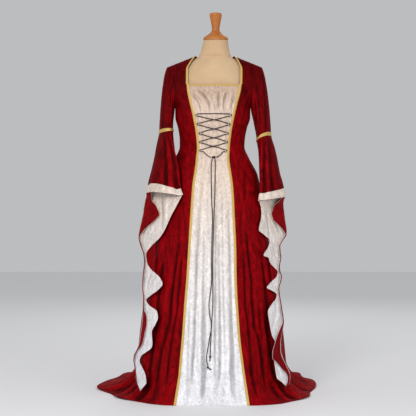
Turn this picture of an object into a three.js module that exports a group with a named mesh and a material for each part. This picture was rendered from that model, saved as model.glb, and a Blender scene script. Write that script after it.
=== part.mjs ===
// A medieval gown of crushed velvet, as worn, on a limbless dress form.
// Millimetres, +Z up. The origin is on the floor at the centre of the stand's base.
// The front faces -Y. Left and right are as seen from the front: left is -X.
import * as THREE from 'three';

// Cloth, trim and the gaps at seams
const VELVET = 2.4;
const LINING = 1.2;
const SEAM_GAP = 0.3;
const SEAM_INSET = 0.2;
const SLEEVE_GAP = 0.8;
const BRAID = 1.8;
const BRAID_HALF = 5;
const CUFF = 3;

// Main heights of the gown
const SHOULDER = 1410;
const UNDERARM = 1190;
const INSERT_TOP = 1280;
const SPREAD_TOP = 110;
const NECK_HALF = 80;
const SHOULDER_SLOPE = 0.4;
const SHOULDER_HALF = 197;
const UNDERARM_HALF = 158;
const YOKE_HALF = 215;
const YOKE_WIDENS = 75;
const YOKE_LEAN = 0.08;
const YOKE_ROUND = 2.2;
const ARMHOLE_CURVE = 1.6;
const AXIS_UNDERARM = 3;
const AXIS_SHOULDER = 12;

// Gown from the underarm down: half width, depth before and behind, and the sway of its axis
const BODY_ROWS = [
  { z: 1190, half: 158, front: 116, back: 104, axis: 3 },
  { z: 1150, half: 157, front: 122, back: 102, axis: 3 },
  { z: 1108, half: 145, front: 110, back: 94, axis: 2 },
  { z: 1060, half: 137, front: 97, back: 87, axis: 1 },
  { z: 1030, half: 136, front: 93, back: 88, axis: 0 },
  { z: 982, half: 155, front: 108, back: 112, axis: 0 },
  { z: 906, half: 193, front: 136, back: 160, axis: 0 },
  { z: 600, half: 246, front: 208, back: 262, axis: 0 },
  { z: 327, half: 294, front: 270, back: 345, axis: 0 },
  { z: 110, half: 318, front: 314, back: 430, axis: 0 },
];

// Centre front insert: half width between the braids and the sway of its middle
const INSERT_ROWS = [
  { z: 1410, half: 80, axis: 12 },
  { z: 1378, half: 98, axis: 10 },
  { z: 1350, half: 109, axis: 9 },
  { z: 1280, half: 108, axis: 8 },
  { z: 1201, half: 93, axis: 6 },
  { z: 1145, half: 80, axis: 6 },
  { z: 1078, half: 68, axis: 6 },
  { z: 1018, half: 63, axis: 5 },
  { z: 977, half: 64, axis: 2 },
  { z: 856, half: 79, axis: 2 },
  { z: 731, half: 86, axis: 1 },
  { z: 611, half: 92, axis: 0 },
  { z: 493, half: 96, axis: -3 },
  { z: 375, half: 103, axis: -5 },
  { z: 259, half: 111, axis: -5 },
  { z: 144, half: 123, axis: -3 },
  { z: 110, half: 127, axis: -2 },
];

// Edge of the gown on the floor, by the turn from the front in degrees.
// spread is 0 where the hem only touches the floor and 1 where the cloth pools on it.
const HEM_ROWS = [
  { turn: 0, left: 0, right: 0, y: -334, spread: 0 },
  { turn: 24, left: 147, right: 147, y: -338, spread: 0.05 },
  { turn: 42, left: 246, right: 268, y: -312, spread: 0.6 },
  { turn: 58, left: 345, right: 356, y: -222, spread: 1 },
  { turn: 75, left: 440, right: 420, y: -70, spread: 1 },
  { turn: 90, left: 493, right: 452, y: 95, spread: 1 },
  { turn: 110, left: 485, right: 455, y: 300, spread: 1 },
  { turn: 132, left: 420, right: 420, y: 480, spread: 1 },
  { turn: 156, left: 230, right: 230, y: 600, spread: 1 },
  { turn: 180, left: 0, right: 0, y: 650, spread: 1 },
];

// Rows of the cloth mesh: neck-edge heights above the underarm, then plain heights
const YOKE_LEVELS = [SHOULDER, 1403, 1388, 1362, 1325, INSERT_TOP, 1274, 1235];
const SKIRT_LEVELS = [
  UNDERARM, 1150, 1108, 1066, 1034, 1000, 950, 880, 790, 670, 530, 390, 240, SPREAD_TOP,
];
const SPREAD_STEPS = [0.3, 0.65, 1];

// Columns of the cloth mesh
const INSERT_COLUMNS = 13;
const SIDE_COLUMNS = 7;
const NECK_COLUMNS = 6;

// Folds: count round the whole skirt and across the insert, and their depth at the floor
const SKIRT_FOLDS = 11;
const SKIRT_FOLD_DEPTH = 30;
const INSERT_FOLDS = 4;
const INSERT_FOLD_DEPTH = 10;
const FOLD_TOP = 1000;
const FOLD_CURVE = 1.3;
const FOLD_SWAY = { wide: 1.1, turn: 0.6, narrow: 0.8 };
const FOLD_EDGE = { near: 0.02, far: 0.16 };
const FOLD_UNEVEN = 0.3;
const POOL_RIDGE = 22;
const POOL_SWELL = { start: 0.15, span: 0.75 };
const HEM_SCALLOP = 0.05;
const HEM_KNEE = { hanging: 0.5, pooled: 0.12 };

// Sleeve rings from the elbow to the cuff, as distances from the gown's axis.
// inner is the ring's edge at the front, outer its edge at the back, swell its bulge away from
// the body and ease its bulge towards the body; tilt lifts the outer side, slant the back and
// bow both sides.
const RING_COLUMNS = ['z', 'inner', 'innerY', 'outer', 'outerY', 'swell', 'ease', 'tilt', 'slant', 'bow'];
const ringTable = (rows) => rows.map((row) => Object.fromEntries(
  row.map((value, i) => [RING_COLUMNS[i], value]),
));
const BELL_ROWS_LEFT = ringTable([
  [1092, 178, -70, 205, 72, 28, 28, -3, -4, 0],
  [1030, 160, -98, 223, 60, 34, 20, 0, 0, 0],
  [945, 140, -124, 241, 36, 43, 6, 0, 0, 0],
  [870, 128, -145, 260, 12, 48, 1, -8, 8, 11],
  [836, 119, -153, 265, 2, 51, 0, -5, 5, 6],
]);
const BELL_ROWS_RIGHT = ringTable([
  [1064, 202, -72, 228, 70, 31, 28, 14, -6, 0],
  [1000, 198, -84, 252, 60, 38, 22, 8, -4, 0],
  [925, 194, -94, 273, 50, 41, 12, 0, 0, 0],
  [844, 192, -104, 292, 42, 44, 3, 4, 13, 0],
  [810, 190, -112, 297, 38, 45, 0, 4, 8, 0],
]);

// Trailing end of each sleeve: fold is its outline at the outer side, flap the edge that
// turns over to the front and free the inner edge, all as distances from the gown's axis
const TRAIL_ROWS_LEFT = [
  { z: 805, fold: 281, flap: 255, free: 130 },
  { z: 776, fold: 287, flap: 231, free: 145 },
  { z: 745, fold: 292, flap: 219, free: 162 },
  { z: 724, fold: 296, flap: 236, free: 172 },
  { z: 680, fold: 305, flap: 287, free: 192 },
  { z: 650, fold: 309, flap: 305, free: 212 },
  { z: 612, fold: 299, flap: 295, free: 250 },
  { z: 580, fold: 286, flap: 283, free: 271 },
  { z: 545, fold: 282, flap: 279, free: 266 },
  { z: 520, fold: 284, flap: 281, free: 249 },
  { z: 492, fold: 287, flap: 284, free: 213 },
  { z: 465, fold: 288, flap: 285, free: 198 },
  { z: 440, fold: 288, flap: 285, free: 216 },
  { z: 413, fold: 284, flap: 281, free: 250 },
  { z: 394, fold: 283, flap: 280, free: 267 },
  { z: 374, fold: 284, flap: 281, free: 252 },
  { z: 355, fold: 284, flap: 279, free: 220 },
  { z: 330, fold: 284, flap: 268, free: 216 },
  { z: 305, fold: 286, flap: 267, free: 225 },
  { z: 270, fold: 290, flap: 274, free: 241 },
  { z: 225, fold: 296, flap: 284, free: 238 },
  { z: 208, fold: 301, flap: 292, free: 242 },
  { z: 190, fold: 309, flap: 306, free: 262 },
  { z: 165, fold: 321, flap: 318, free: 288 },
  { z: 147, fold: 323, flap: 320, free: 293 },
  { z: 121, fold: 318, flap: 315, free: 278 },
  { z: 95, fold: 313, flap: 310, free: 265 },
  { z: 70, fold: 309, flap: 306, free: 261 },
  { z: 50, fold: 300, flap: 296, free: 274 },
];
const TRAIL_ROWS_RIGHT = [
  { z: 776, fold: 303, flap: 257, free: 198 },
  { z: 748, fold: 307, flap: 249, free: 200 },
  { z: 728, fold: 309, flap: 253, free: 198 },
  { z: 705, fold: 312, flap: 276, free: 192 },
  { z: 682, fold: 315, flap: 299, free: 188 },
  { z: 660, fold: 314, flap: 310, free: 212 },
  { z: 636, fold: 297, flap: 294, free: 235 },
  { z: 612, fold: 284, flap: 281, free: 228 },
  { z: 577, fold: 286, flap: 283, free: 207 },
  { z: 568, fold: 288, flap: 285, free: 228 },
  { z: 548, fold: 284, flap: 281, free: 234 },
  { z: 527, fold: 280, flap: 277, free: 252 },
  { z: 507, fold: 283, flap: 280, free: 268 },
  { z: 488, fold: 289, flap: 286, free: 262 },
  { z: 468, fold: 285, flap: 282, free: 236 },
  { z: 448, fold: 277, flap: 274, free: 219 },
  { z: 436, fold: 276, flap: 273, free: 238 },
  { z: 416, fold: 278, flap: 275, free: 262 },
  { z: 400, fold: 280, flap: 277, free: 257 },
  { z: 384, fold: 283, flap: 280, free: 241 },
  { z: 352, fold: 288, flap: 285, free: 222 },
  { z: 325, fold: 292, flap: 289, free: 225 },
  { z: 305, fold: 294, flap: 290, free: 229 },
  { z: 285, fold: 291, flap: 280, free: 232 },
  { z: 258, fold: 284, flap: 266, free: 238 },
  { z: 222, fold: 278, flap: 252, free: 253 },
  { z: 195, fold: 278, flap: 244, free: 246 },
  { z: 172, fold: 283, flap: 243, free: 243 },
  { z: 155, fold: 290, flap: 259, free: 246 },
  { z: 126, fold: 304, flap: 281, free: 250 },
  { z: 88, fold: 317, flap: 308, free: 257 },
  { z: 72, fold: 317, flap: 307, free: 275 },
  { z: 54, fold: 313, flap: 298, free: 292 },
];
const TRAIL_CLEAR = 16;
const TRAIL_TURNS = 0.86;
const TRAIL_SPREAD = 0.7;
const FLAP_GAP = 25;
const FOLD_TURN = 8;
const FOLD_REACH = 12;
const FLAP_EASE = 0.4;
const FLAP_START = 0.6;
const SLEEVE_COLUMNS = 16;
const UPPER_STEPS = [0.25, 0.5, 0.75, 0.96];
const SHOULDER_LEAVE = { out: 3, outerOut: 34, down: 24, outerUp: 6 };
const ELBOW_ARRIVE = { up: 25, outerUp: 60 };
const ELBOW_STEP = 0.08;

// Lacing: rows of loops down the insert, by height and distance from the insert's middle
const LACE = 3.8;
const LOOP_ROWS = [
  { z: 1153, reach: 67 },
  { z: 1117, reach: 61 },
  { z: 1080, reach: 54 },
  { z: 1044, reach: 51 },
  { z: 1008, reach: 49 },
];
const LOOP_WIDTH = 4;
const LOOP_HALF_SPAN = 8.6;
const LOOP_HEIGHT = 6.2;
const LOOP_WALL = 1.2;
const LOOP_FOOT = 0.5;
const LOOP_BEVEL = 2;
const LOOP_INNER_BEVEL = 2.4;
const LACE_TURN = 4.3;
const LACE_RISE = 2.6;
const LACE_OVER = 7.1;
const TURN_REACH = 7;
const TURN_DROP = 4.8;
const TURN_CORNER = { out: 0.95, drop: 0.7 };
const TURN_OUT = 1.3;
const STRAND_PARTS = { start: 0.25, rising: 0.42, middle: 0.5, falling: 0.58, end: 0.75 };
const KNOT_LEAD = { x: 24, z: 7, gap: 1, rise: 4 };
const LACE_STEPS = 96;
const KNOT = { x: 6, z: 979, half: 10, deep: 4.5, tall: 5.5 };

// Free ends of the lace below the knot: the middle of the lace and its height off the cloth
const TAIL_LEFT = [
  { z: 974, x: 0, rise: 4.5 }, { z: 955, x: -3, rise: 2.6 }, { z: 907, x: -4, rise: 2.6 },
  { z: 850, x: -3, rise: 2.6 }, { z: 800, x: -2, rise: 2.6 }, { z: 736, x: 1, rise: 2.6 },
  { z: 659, x: -1, rise: 2.6 }, { z: 563, x: -3, rise: 2.6 }, { z: 477, x: -3, rise: 2.6 },
  { z: 430, x: -8, rise: 2.6 }, { z: 387, x: -13, rise: 2.6 }, { z: 345, x: -10, rise: 2.6 },
  { z: 305, x: -3, rise: 2.6 }, { z: 262, x: -10, rise: 2.6 }, { z: 220, x: -17, rise: 2.6 },
  { z: 185, x: -23, rise: 2.6 }, { z: 165, x: -21.5, rise: 3.2 }, { z: 150, x: -18, rise: 4.5 },
];
const TAIL_RIGHT = [
  { z: 973.6, x: 11, rise: 4.5 }, { z: 955, x: 12.5, rise: 2.6 }, { z: 907, x: 12, rise: 2.6 },
  { z: 850, x: 11, rise: 2.6 }, { z: 800, x: 9.5, rise: 2.6 }, { z: 736, x: 7, rise: 2.6 },
  { z: 659, x: 4.5, rise: 2.6 }, { z: 563, x: 2.2, rise: 2.6 }, { z: 477, x: 2.2, rise: 2.6 },
  { z: 430, x: 2.5, rise: 2.6 }, { z: 387, x: 2, rise: 2.6 }, { z: 345, x: -0.5, rise: 4.6 },
  { z: 305, x: -4, rise: 7.2 }, { z: 262, x: -5, rise: 5.2 }, { z: 225, x: -7.5, rise: 2.8 },
  { z: 190.6, x: -8.4, rise: 4.5 },
];
const TAIL_STEPS = 32;
const END_KNOT_RADIUS = 4.4;
const END_LENGTH = 17;
const END_LIFT = 0.6;
const KNOT_LIFT = 0.4;
const KNOT_SHOULDER = 0.7;
const TASSEL_FLARE = 0.4;
const END_LEFT = { x: -17.5, z: 145, aimX: 0.82, aimZ: -0.57 };
const END_RIGHT = { x: -8.4, z: 185.6, aimX: -0.1, aimZ: -1 };

// Dress form and its stand
const FORM_CLEAR = 11;
const FORM_SIDE_HALF = 6;
const FORM_ROWS = [
  { z: 1190, half: 149, front: 109, back: 97 },
  { z: 1150, half: 149, front: 114, back: 95 },
  { z: 1105, half: 136, front: 101, back: 86 },
  { z: 1060, half: 128, front: 89, back: 79 },
  { z: 1030, half: 127, front: 85, back: 80 },
  { z: 985, half: 143, front: 97, back: 101 },
  { z: 930, half: 160, front: 112, back: 118 },
  { z: 840, half: 158, front: 108, back: 114 },
];
const SHOULDER_LEVELS = [1240, 1290, 1330, 1354, 1368, 1382, 1394];
const NECK_ROWS = [
  { z: 1403, half: 70, deep: 38 },
  { z: 1412, half: 67, deep: 45 },
  { z: 1424, half: 61, deep: 48 },
  { z: 1440, half: 58, deep: 50 },
  { z: 1460, half: 54, deep: 52 },
  { z: 1479.7, half: 52, deep: 52 },
];
const NECK_DEPTH = 38;
const FORM_COLUMNS = 9;
const CAP_AXIS = 15.5;
const POLE_RADIUS = 16;
const BASE_RADIUS = 190;
const BASE_HEIGHT = 16;

const RED = { color: 0x7a0a14, roughness: 0.55, metalness: 0 };
const IVORY = { color: 0xdcd2c8, roughness: 0.5, metalness: 0 };
const GOLD = { color: 0xc79a3a, roughness: 0.4, metalness: 0.6 };
const CORD = { color: 0x3a2a30, roughness: 0.8, metalness: 0 };
const CREAM = { color: 0xe2cba6, roughness: 0.8, metalness: 0 };
const WOOD = { color: 0xb9712e, roughness: 0.45, metalness: 0 };
const METAL = { color: 0x55565a, roughness: 0.4, metalness: 0.8 };

// Interpolation in the tables

function bracket(rows, key, at) {
  const ordered = [...rows].sort((a, b) => a[key] - b[key]);
  let low = 0;
  while (low < ordered.length - 2 && at > ordered[low + 1][key]) low += 1;
  return { ordered, low };
}

// Cubic through a column of a table, with slopes that never overshoot a row
function smooth(rows, key, column, at) {
  const { ordered, low } = bracket(rows, key, at);
  const gap = (i) => ordered[i + 1][key] - ordered[i][key];
  const rise = (i) => (ordered[i + 1][column] - ordered[i][column]) / gap(i);
  const slope = (i) => {
    if (i === 0) return rise(0);
    if (i === ordered.length - 1) return rise(i - 1);
    const before = rise(i - 1);
    const after = rise(i);
    return before * after <= 0 ? 0 : (2 * before * after) / (before + after);
  };
  const span = gap(low);
  const t = THREE.MathUtils.clamp((at - ordered[low][key]) / span, 0, 1);
  const h = t * t * (3 - 2 * t);
  const start = ordered[low][column] * (1 - h) + ordered[low + 1][column] * h;
  const bend = slope(low) * t * (1 - t) * (1 - t) - slope(low + 1) * t * t * (1 - t);
  return start + bend * span;
}

const body = (column, z) => smooth(BODY_ROWS, 'z', column, z);
const insert = (column, z) => smooth(INSERT_ROWS, 'z', column, z);

// Sway of the axis above the underarm
function axisAt(z) {
  return z <= UNDERARM ? body('axis', z) : THREE.MathUtils.mapLinear(
    z, UNDERARM, SHOULDER, AXIS_UNDERARM, AXIS_SHOULDER,
  );
}

// Shape of the torso above the underarm

function ridge(x) {
  return SHOULDER - (x - NECK_HALF) * SHOULDER_SLOPE;
}

// Depth of the yoke at a distance from the axis; spare is taken off all round
function yokeDepth(x, z, full, spare = 0) {
  const rise = z - UNDERARM;
  const widened = THREE.MathUtils.smoothstep(rise, 0, YOKE_WIDENS);
  const wide = THREE.MathUtils.lerp(UNDERARM_HALF, YOKE_HALF, widened) - spare;
  const round = Math.sqrt(Math.max(0, 1 - (x / wide) ** 2));
  const climb = rise / (ridge(Math.abs(x)) - spare - UNDERARM);
  const dome = Math.sqrt(Math.max(0, 1 - Math.max(0, climb) ** YOKE_ROUND));
  return (full - spare - rise * YOKE_LEAN) * round * dome;
}

function armholeHalf(climb) {
  return UNDERARM_HALF + (SHOULDER_HALF - UNDERARM_HALF) * climb ** ARMHOLE_CURVE;
}

// Skirt folds draw the cloth in from its outline; crest is 1 on a ridge and 0 in a valley

function skirtCrest(turn) {
  const phase = SKIRT_FOLDS * turn
    + FOLD_SWAY.wide * Math.sin(2 * turn + FOLD_SWAY.turn)
    + FOLD_SWAY.narrow * Math.sin(5 * turn);
  return (1 + Math.cos(phase)) / 2;
}

function insertCrest(across) {
  return (1 + Math.cos(2 * Math.PI * INSERT_FOLDS * across)) / 2;
}

function foldGrowth(z) {
  const fall = THREE.MathUtils.clamp((FOLD_TOP - z) / (FOLD_TOP - SPREAD_TOP), 0, 1);
  return fall ** FOLD_CURVE;
}

function pull(crest, turn, edgeTurn, z, depth) {
  const apart = Math.abs(Math.abs(turn) - edgeTurn);
  const window = THREE.MathUtils.smoothstep(apart, FOLD_EDGE.near, FOLD_EDGE.far);
  const uneven = 1 - FOLD_UNEVEN + FOLD_UNEVEN * Math.sin(3 * turn + 1);
  return (1 - crest) * window * uneven * foldGrowth(z) * depth;
}

// A point of the gown's outside below the underarm, by its turn from the front
function skirtPoint(turn, z, crest, edgeTurn, depth) {
  const front = Math.abs(turn) < Math.PI / 2;
  const deep = body(front ? 'front' : 'back', z);
  const drawn = pull(crest, turn, edgeTurn, z, depth);
  const x = axisAt(z) + (body('half', z) - drawn) * Math.sin(turn);
  const y = -(deep - drawn) * Math.cos(turn);
  return new THREE.Vector3(x, y, z);
}

// A point where the skirt turns out on to the floor: step goes from 0 to 1 at the hem
function spreadPoint(turn, step, crest, edgeTurn, depth) {
  const top = skirtPoint(turn, SPREAD_TOP, crest, edgeTurn, depth);
  const degrees = Math.abs(THREE.MathUtils.radToDeg(turn));
  const side = turn < 0 ? 'left' : 'right';
  const hem = (column) => smooth(HEM_ROWS, 'turn', column, degrees);
  const spread = hem('spread');
  const trim = 1 - HEM_SCALLOP * spread * (1 - crest);
  const end = new THREE.Vector3(Math.sign(turn) * hem(side) * trim, hem('y') * trim, VELVET * spread);
  const bent = THREE.MathUtils.lerp(HEM_KNEE.hanging, HEM_KNEE.pooled, spread);
  const knee = top.clone().lerp(end, bent);
  knee.z = THREE.MathUtils.lerp(SPREAD_TOP / 2, VELVET, spread);
  const rest = 1 - step;
  const point = top.multiplyScalar(rest * rest);
  point.addScaledVector(knee, 2 * step * rest);
  point.addScaledVector(end, step * step);
  const swell = Math.min(1, POOL_SWELL.start + POOL_SWELL.span * step);
  point.z += spread * crest * POOL_RIDGE * Math.sin(Math.PI * swell);
  return point;
}

// The gown's skin: one mesh of outside points that all cloth pieces share

const points = [];
const faces = [];

function addPoint(point) {
  points.push(point);
  return points.length - 1;
}

// Corners run top left, bottom left, bottom right and top right, seen from outside
function addFace(piece, corners, flipped = false) {
  faces.push({ piece, corners: flipped ? [...corners].reverse() : corners });
}

function edgeTurnAt(z) {
  const edge = insert('half', z) + insert('axis', z) - axisAt(z);
  return Math.asin(edge / body('half', z));
}

// Turns of all columns of a row at or below the underarm, from the left side seam round
function rowColumns(z) {
  const half = body('half', z);
  const left = insert('axis', z) - insert('half', z) - axisAt(z);
  const right = insert('axis', z) + insert('half', z) - axisAt(z);
  const turnOf = (x) => Math.asin(x / half);
  const columns = [];
  const span = (from, to, count, crest) => {
    for (let i = 0; i < count; i += 1) {
      const turn = THREE.MathUtils.lerp(from, to, i / count);
      columns.push({ turn, crest: crest(turn, i / count) });
    }
  };
  const plain = (turn) => skirtCrest(turn);
  const ridgeLine = () => 1;
  const edges = [left - BRAID_HALF, left, left + BRAID_HALF, right - BRAID_HALF, right, right + BRAID_HALF];
  const turns = edges.map(turnOf);
  span(-Math.PI / 2, turns[0], SIDE_COLUMNS, plain);
  span(turns[0], turns[1], 1, ridgeLine);
  span(turns[1], turns[2], 1, ridgeLine);
  span(turns[2], turns[3], INSERT_COLUMNS, (turn, across) => insertCrest(across));
  span(turns[3], turns[4], 1, ridgeLine);
  span(turns[4], turns[5], 1, ridgeLine);
  span(turns[5], Math.PI / 2, SIDE_COLUMNS, plain);
  span(Math.PI / 2, (3 * Math.PI) / 2, 2 * SIDE_COLUMNS + 2 + NECK_COLUMNS, plain);
  return columns;
}

const LEFT_EDGE = SIDE_COLUMNS + 1;
const RIGHT_EDGE = LEFT_EDGE + INSERT_COLUMNS + 2;
const RIGHT_SIDE = RIGHT_EDGE + SIDE_COLUMNS + 1;
const BACK_COLUMNS = 2 * SIDE_COLUMNS + 2 + NECK_COLUMNS;
const ALL_COLUMNS = RIGHT_SIDE + BACK_COLUMNS;

function pieceOfColumn(column) {
  if (column < LEFT_EDGE) return 'front_side_left';
  if (column < RIGHT_EDGE) return 'front_insert';
  if (column < RIGHT_SIDE) return 'front_side_right';
  return 'back';
}

function wrapTurn(turn) {
  return turn > Math.PI ? turn - 2 * Math.PI : turn;
}

function skirtRow(z, step) {
  const edge = edgeTurnAt(z);
  return rowColumns(z).map(({ turn, crest }, column) => {
    const wrapped = wrapTurn(turn);
    const onInsert = column > LEFT_EDGE && column < RIGHT_EDGE;
    const depth = onInsert ? INSERT_FOLD_DEPTH : SKIRT_FOLD_DEPTH;
    const point = step === 0
      ? skirtPoint(wrapped, z, crest, edge, depth)
      : spreadPoint(wrapped, step, crest, edge, depth);
    return addPoint(point);
  });
}

const skirtRows = SKIRT_LEVELS.map((z) => skirtRow(z, 0));
SPREAD_STEPS.forEach((step) => skirtRows.push(skirtRow(SPREAD_TOP, step)));
for (let row = 0; row + 1 < skirtRows.length; row += 1) {
  for (let column = 0; column < ALL_COLUMNS; column += 1) {
    const next = (column + 1) % ALL_COLUMNS;
    const above = skirtRows[row];
    const below = skirtRows[row + 1];
    addFace(pieceOfColumn(column), [above[column], below[column], below[next], above[next]]);
  }
}

// Yoke: side fronts above the underarm, from the neckline to the armhole

function climbOf(level) {
  return (level - UNDERARM) / (ridge(insert('half', level)) - UNDERARM);
}

function yokePoint(offset, climb, top, full) {
  const z = UNDERARM + (top - UNDERARM) * climb;
  return new THREE.Vector3(axisAt(z) + offset, yokeDepth(offset, z, full), z);
}

function frontYokeRow(side, level) {
  const climb = climbOf(level);
  const edge = insert('half', level) + side * (insert('axis', level) - axisAt(level));
  const outer = armholeHalf(climb);
  const row = [];
  const offsets = [edge, edge + BRAID_HALF];
  for (let i = 1; i <= SIDE_COLUMNS; i += 1) {
    offsets.push(THREE.MathUtils.lerp(edge + BRAID_HALF, outer, i / SIDE_COLUMNS));
  }
  offsets.forEach((offset) => {
    const point = yokePoint(side * offset, climb, ridge(offset), body('front', UNDERARM));
    point.y *= -1;
    row.push(addPoint(point));
  });
  return row;
}

function mergeUnderarm(side) {
  const row = [];
  const start = side < 0 ? LEFT_EDGE : RIGHT_EDGE;
  for (let i = 0; i <= SIDE_COLUMNS + 1; i += 1) {
    row.push(skirtRows[0][start + side * i]);
  }
  return row;
}

const frontYoke = { left: [], right: [] };
[['left', -1], ['right', 1]].forEach(([name, side]) => {
  const rows = YOKE_LEVELS.map((level) => frontYokeRow(side, level));
  rows.push(mergeUnderarm(side));
  frontYoke[name] = rows;
  for (let row = 0; row + 1 < rows.length; row += 1) {
    for (let i = 0; i <= SIDE_COLUMNS; i += 1) {
      const corners = [rows[row][i], rows[row + 1][i], rows[row + 1][i + 1], rows[row][i + 1]];
      addFace(`front_side_${name}`, corners, side < 0);
    }
  }
});

// The insert above the underarm, up to its top edge

const insertLevels = YOKE_LEVELS.filter((level) => level <= INSERT_TOP);
const insertRows = insertLevels.map((level) => {
  const row = YOKE_LEVELS.indexOf(level);
  const centre = insert('axis', level) - axisAt(level);
  const reach = insert('half', level) - BRAID_HALF;
  const line = [frontYoke.left[row][0]];
  for (let i = 0; i <= INSERT_COLUMNS; i += 1) {
    const offset = centre + THREE.MathUtils.lerp(-reach, reach, i / INSERT_COLUMNS);
    const y = -yokeDepth(offset, level, body('front', UNDERARM));
    line.push(addPoint(new THREE.Vector3(axisAt(level) + offset, y, level)));
  }
  line.push(frontYoke.right[row][0]);
  return line;
});
insertRows.push(skirtRows[0].slice(LEFT_EDGE, RIGHT_EDGE + 1));
for (let row = 0; row + 1 < insertRows.length; row += 1) {
  for (let i = 0; i < INSERT_COLUMNS + 2; i += 1) {
    const above = insertRows[row];
    const below = insertRows[row + 1];
    addFace('front_insert', [above[i], below[i], below[i + 1], above[i + 1]]);
  }
}

// The back above the underarm; its top row shares the shoulder seams with the fronts

const BACK_NECK_DROP = 22;

function backTop(offset) {
  const reach = Math.abs(offset);
  if (reach >= NECK_HALF) return ridge(reach);
  return SHOULDER - BACK_NECK_DROP * (1 - (reach / NECK_HALF) ** 2);
}

const backRows = YOKE_LEVELS.map((level, row) => {
  const climb = climbOf(level);
  const outer = armholeHalf(climb);
  const line = [];
  for (let i = 0; i <= BACK_COLUMNS; i += 1) {
    const onSeam = row === 0 && (i <= SIDE_COLUMNS + 1 || i >= BACK_COLUMNS - SIDE_COLUMNS - 1);
    if (onSeam) {
      const right = i <= SIDE_COLUMNS + 1;
      const shared = right ? SIDE_COLUMNS + 1 - i : i - BACK_COLUMNS + SIDE_COLUMNS + 1;
      line.push(frontYoke[right ? 'right' : 'left'][0][shared]);
    } else {
      const seamPart = (SIDE_COLUMNS + 1) / BACK_COLUMNS;
      const across = i / BACK_COLUMNS;
      const nearSide = Math.min(across, 1 - across);
      const reach = nearSide < seamPart
        ? THREE.MathUtils.lerp(outer, NECK_HALF, nearSide / seamPart)
        : NECK_HALF * (1 - (nearSide - seamPart) / (0.5 - seamPart));
      const offset = across < 0.5 ? reach : -reach;
      line.push(addPoint(yokePoint(offset, climb, backTop(offset), body('back', UNDERARM))));
    }
  }
  return line;
});
backRows.push([...skirtRows[0].slice(RIGHT_SIDE), skirtRows[0][0]]);
for (let row = 0; row + 1 < backRows.length; row += 1) {
  for (let i = 0; i < BACK_COLUMNS; i += 1) {
    const above = backRows[row];
    const below = backRows[row + 1];
    addFace('back', [above[i], below[i], below[i + 1], above[i + 1]]);
  }
}

// Sleeves

// Front of the hanging cloth where a sleeve lies on the skirt, at a distance from the axis
function restY(reach, z) {
  const level = Math.max(z, SPREAD_TOP);
  const deep = body('front', level);
  const along = reach / body('half', level);
  const low = Math.max(0, SPREAD_TOP - z) * TRAIL_SPREAD;
  if (along <= TRAIL_TURNS) return -deep * Math.sqrt(1 - along * along) - low;
  const start = Math.sqrt(1 - TRAIL_TURNS * TRAIL_TURNS);
  return -deep * (start - (TRAIL_TURNS / start) * (along - TRAIL_TURNS)) - low;
}

// Column 0 is the outer side, a quarter on is the front, then the body side and the back
function bellPoint(side, row, column) {
  const angle = (2 * Math.PI * (column - SLEEVE_COLUMNS / 4)) / SLEEVE_COLUMNS;
  const inner = new THREE.Vector2(row.inner, row.innerY);
  const outer = new THREE.Vector2(row.outer, row.outerY);
  const along = (1 - Math.cos(angle)) / 2;
  const place = inner.clone().lerp(outer, along);
  const across = outer.clone().sub(inner).normalize();
  const bulge = Math.sin(angle) > 0 ? -row.ease * Math.sin(angle) : -row.swell * Math.sin(angle);
  place.add(new THREE.Vector2(across.y, -across.x).multiplyScalar(bulge));
  const turn = (2 * Math.PI * column) / SLEEVE_COLUMNS;
  const lift = row.tilt * Math.cos(turn) - row.slant * Math.sin(turn) + row.bow * Math.cos(2 * turn);
  return new THREE.Vector3(side * place.x, place.y, row.z + lift);
}

const FRONT_COLUMN = SLEEVE_COLUMNS / 4;
const BACK_COLUMN = (3 * SLEEVE_COLUMNS) / 4;
const FLAP_COLUMNS = 3;

function trailPoint(side, row, column) {
  const ground = (reach) => restY(reach, row.z) - TRAIL_CLEAR;
  if (column <= BACK_COLUMN) {
    const along = (column - FRONT_COLUMN) / (BACK_COLUMN - 1 - FRONT_COLUMN);
    const turned = Math.min(FOLD_REACH, (row.fold - row.free) / 2);
    const flat = THREE.MathUtils.lerp(row.free, row.fold - turned, along);
    const reach = column === BACK_COLUMN ? row.fold : flat;
    const turnIn = column === BACK_COLUMN ? FOLD_TURN : 0;
    return new THREE.Vector3(side * reach, ground(reach) - turnIn, row.z);
  }
  const part = (column - BACK_COLUMN) / FLAP_COLUMNS;
  const across = part * THREE.MathUtils.lerp(FLAP_EASE, 1, part);
  const reach = THREE.MathUtils.lerp(row.fold, row.flap, across);
  const rise = FLAP_GAP * THREE.MathUtils.lerp(FLAP_START, 1, part);
  return new THREE.Vector3(side * reach, ground(reach) - rise, row.z);
}

function armholeLoop(name, side) {
  const fronts = frontYoke[name].map((row) => points[row[row.length - 1]]);
  const backColumn = side > 0 ? 0 : BACK_COLUMNS;
  const backs = backRows.map((row) => points[row[backColumn]]);
  const loop = [...fronts, ...backs.reverse().slice(1, -1)];
  return loop;
}

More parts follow.
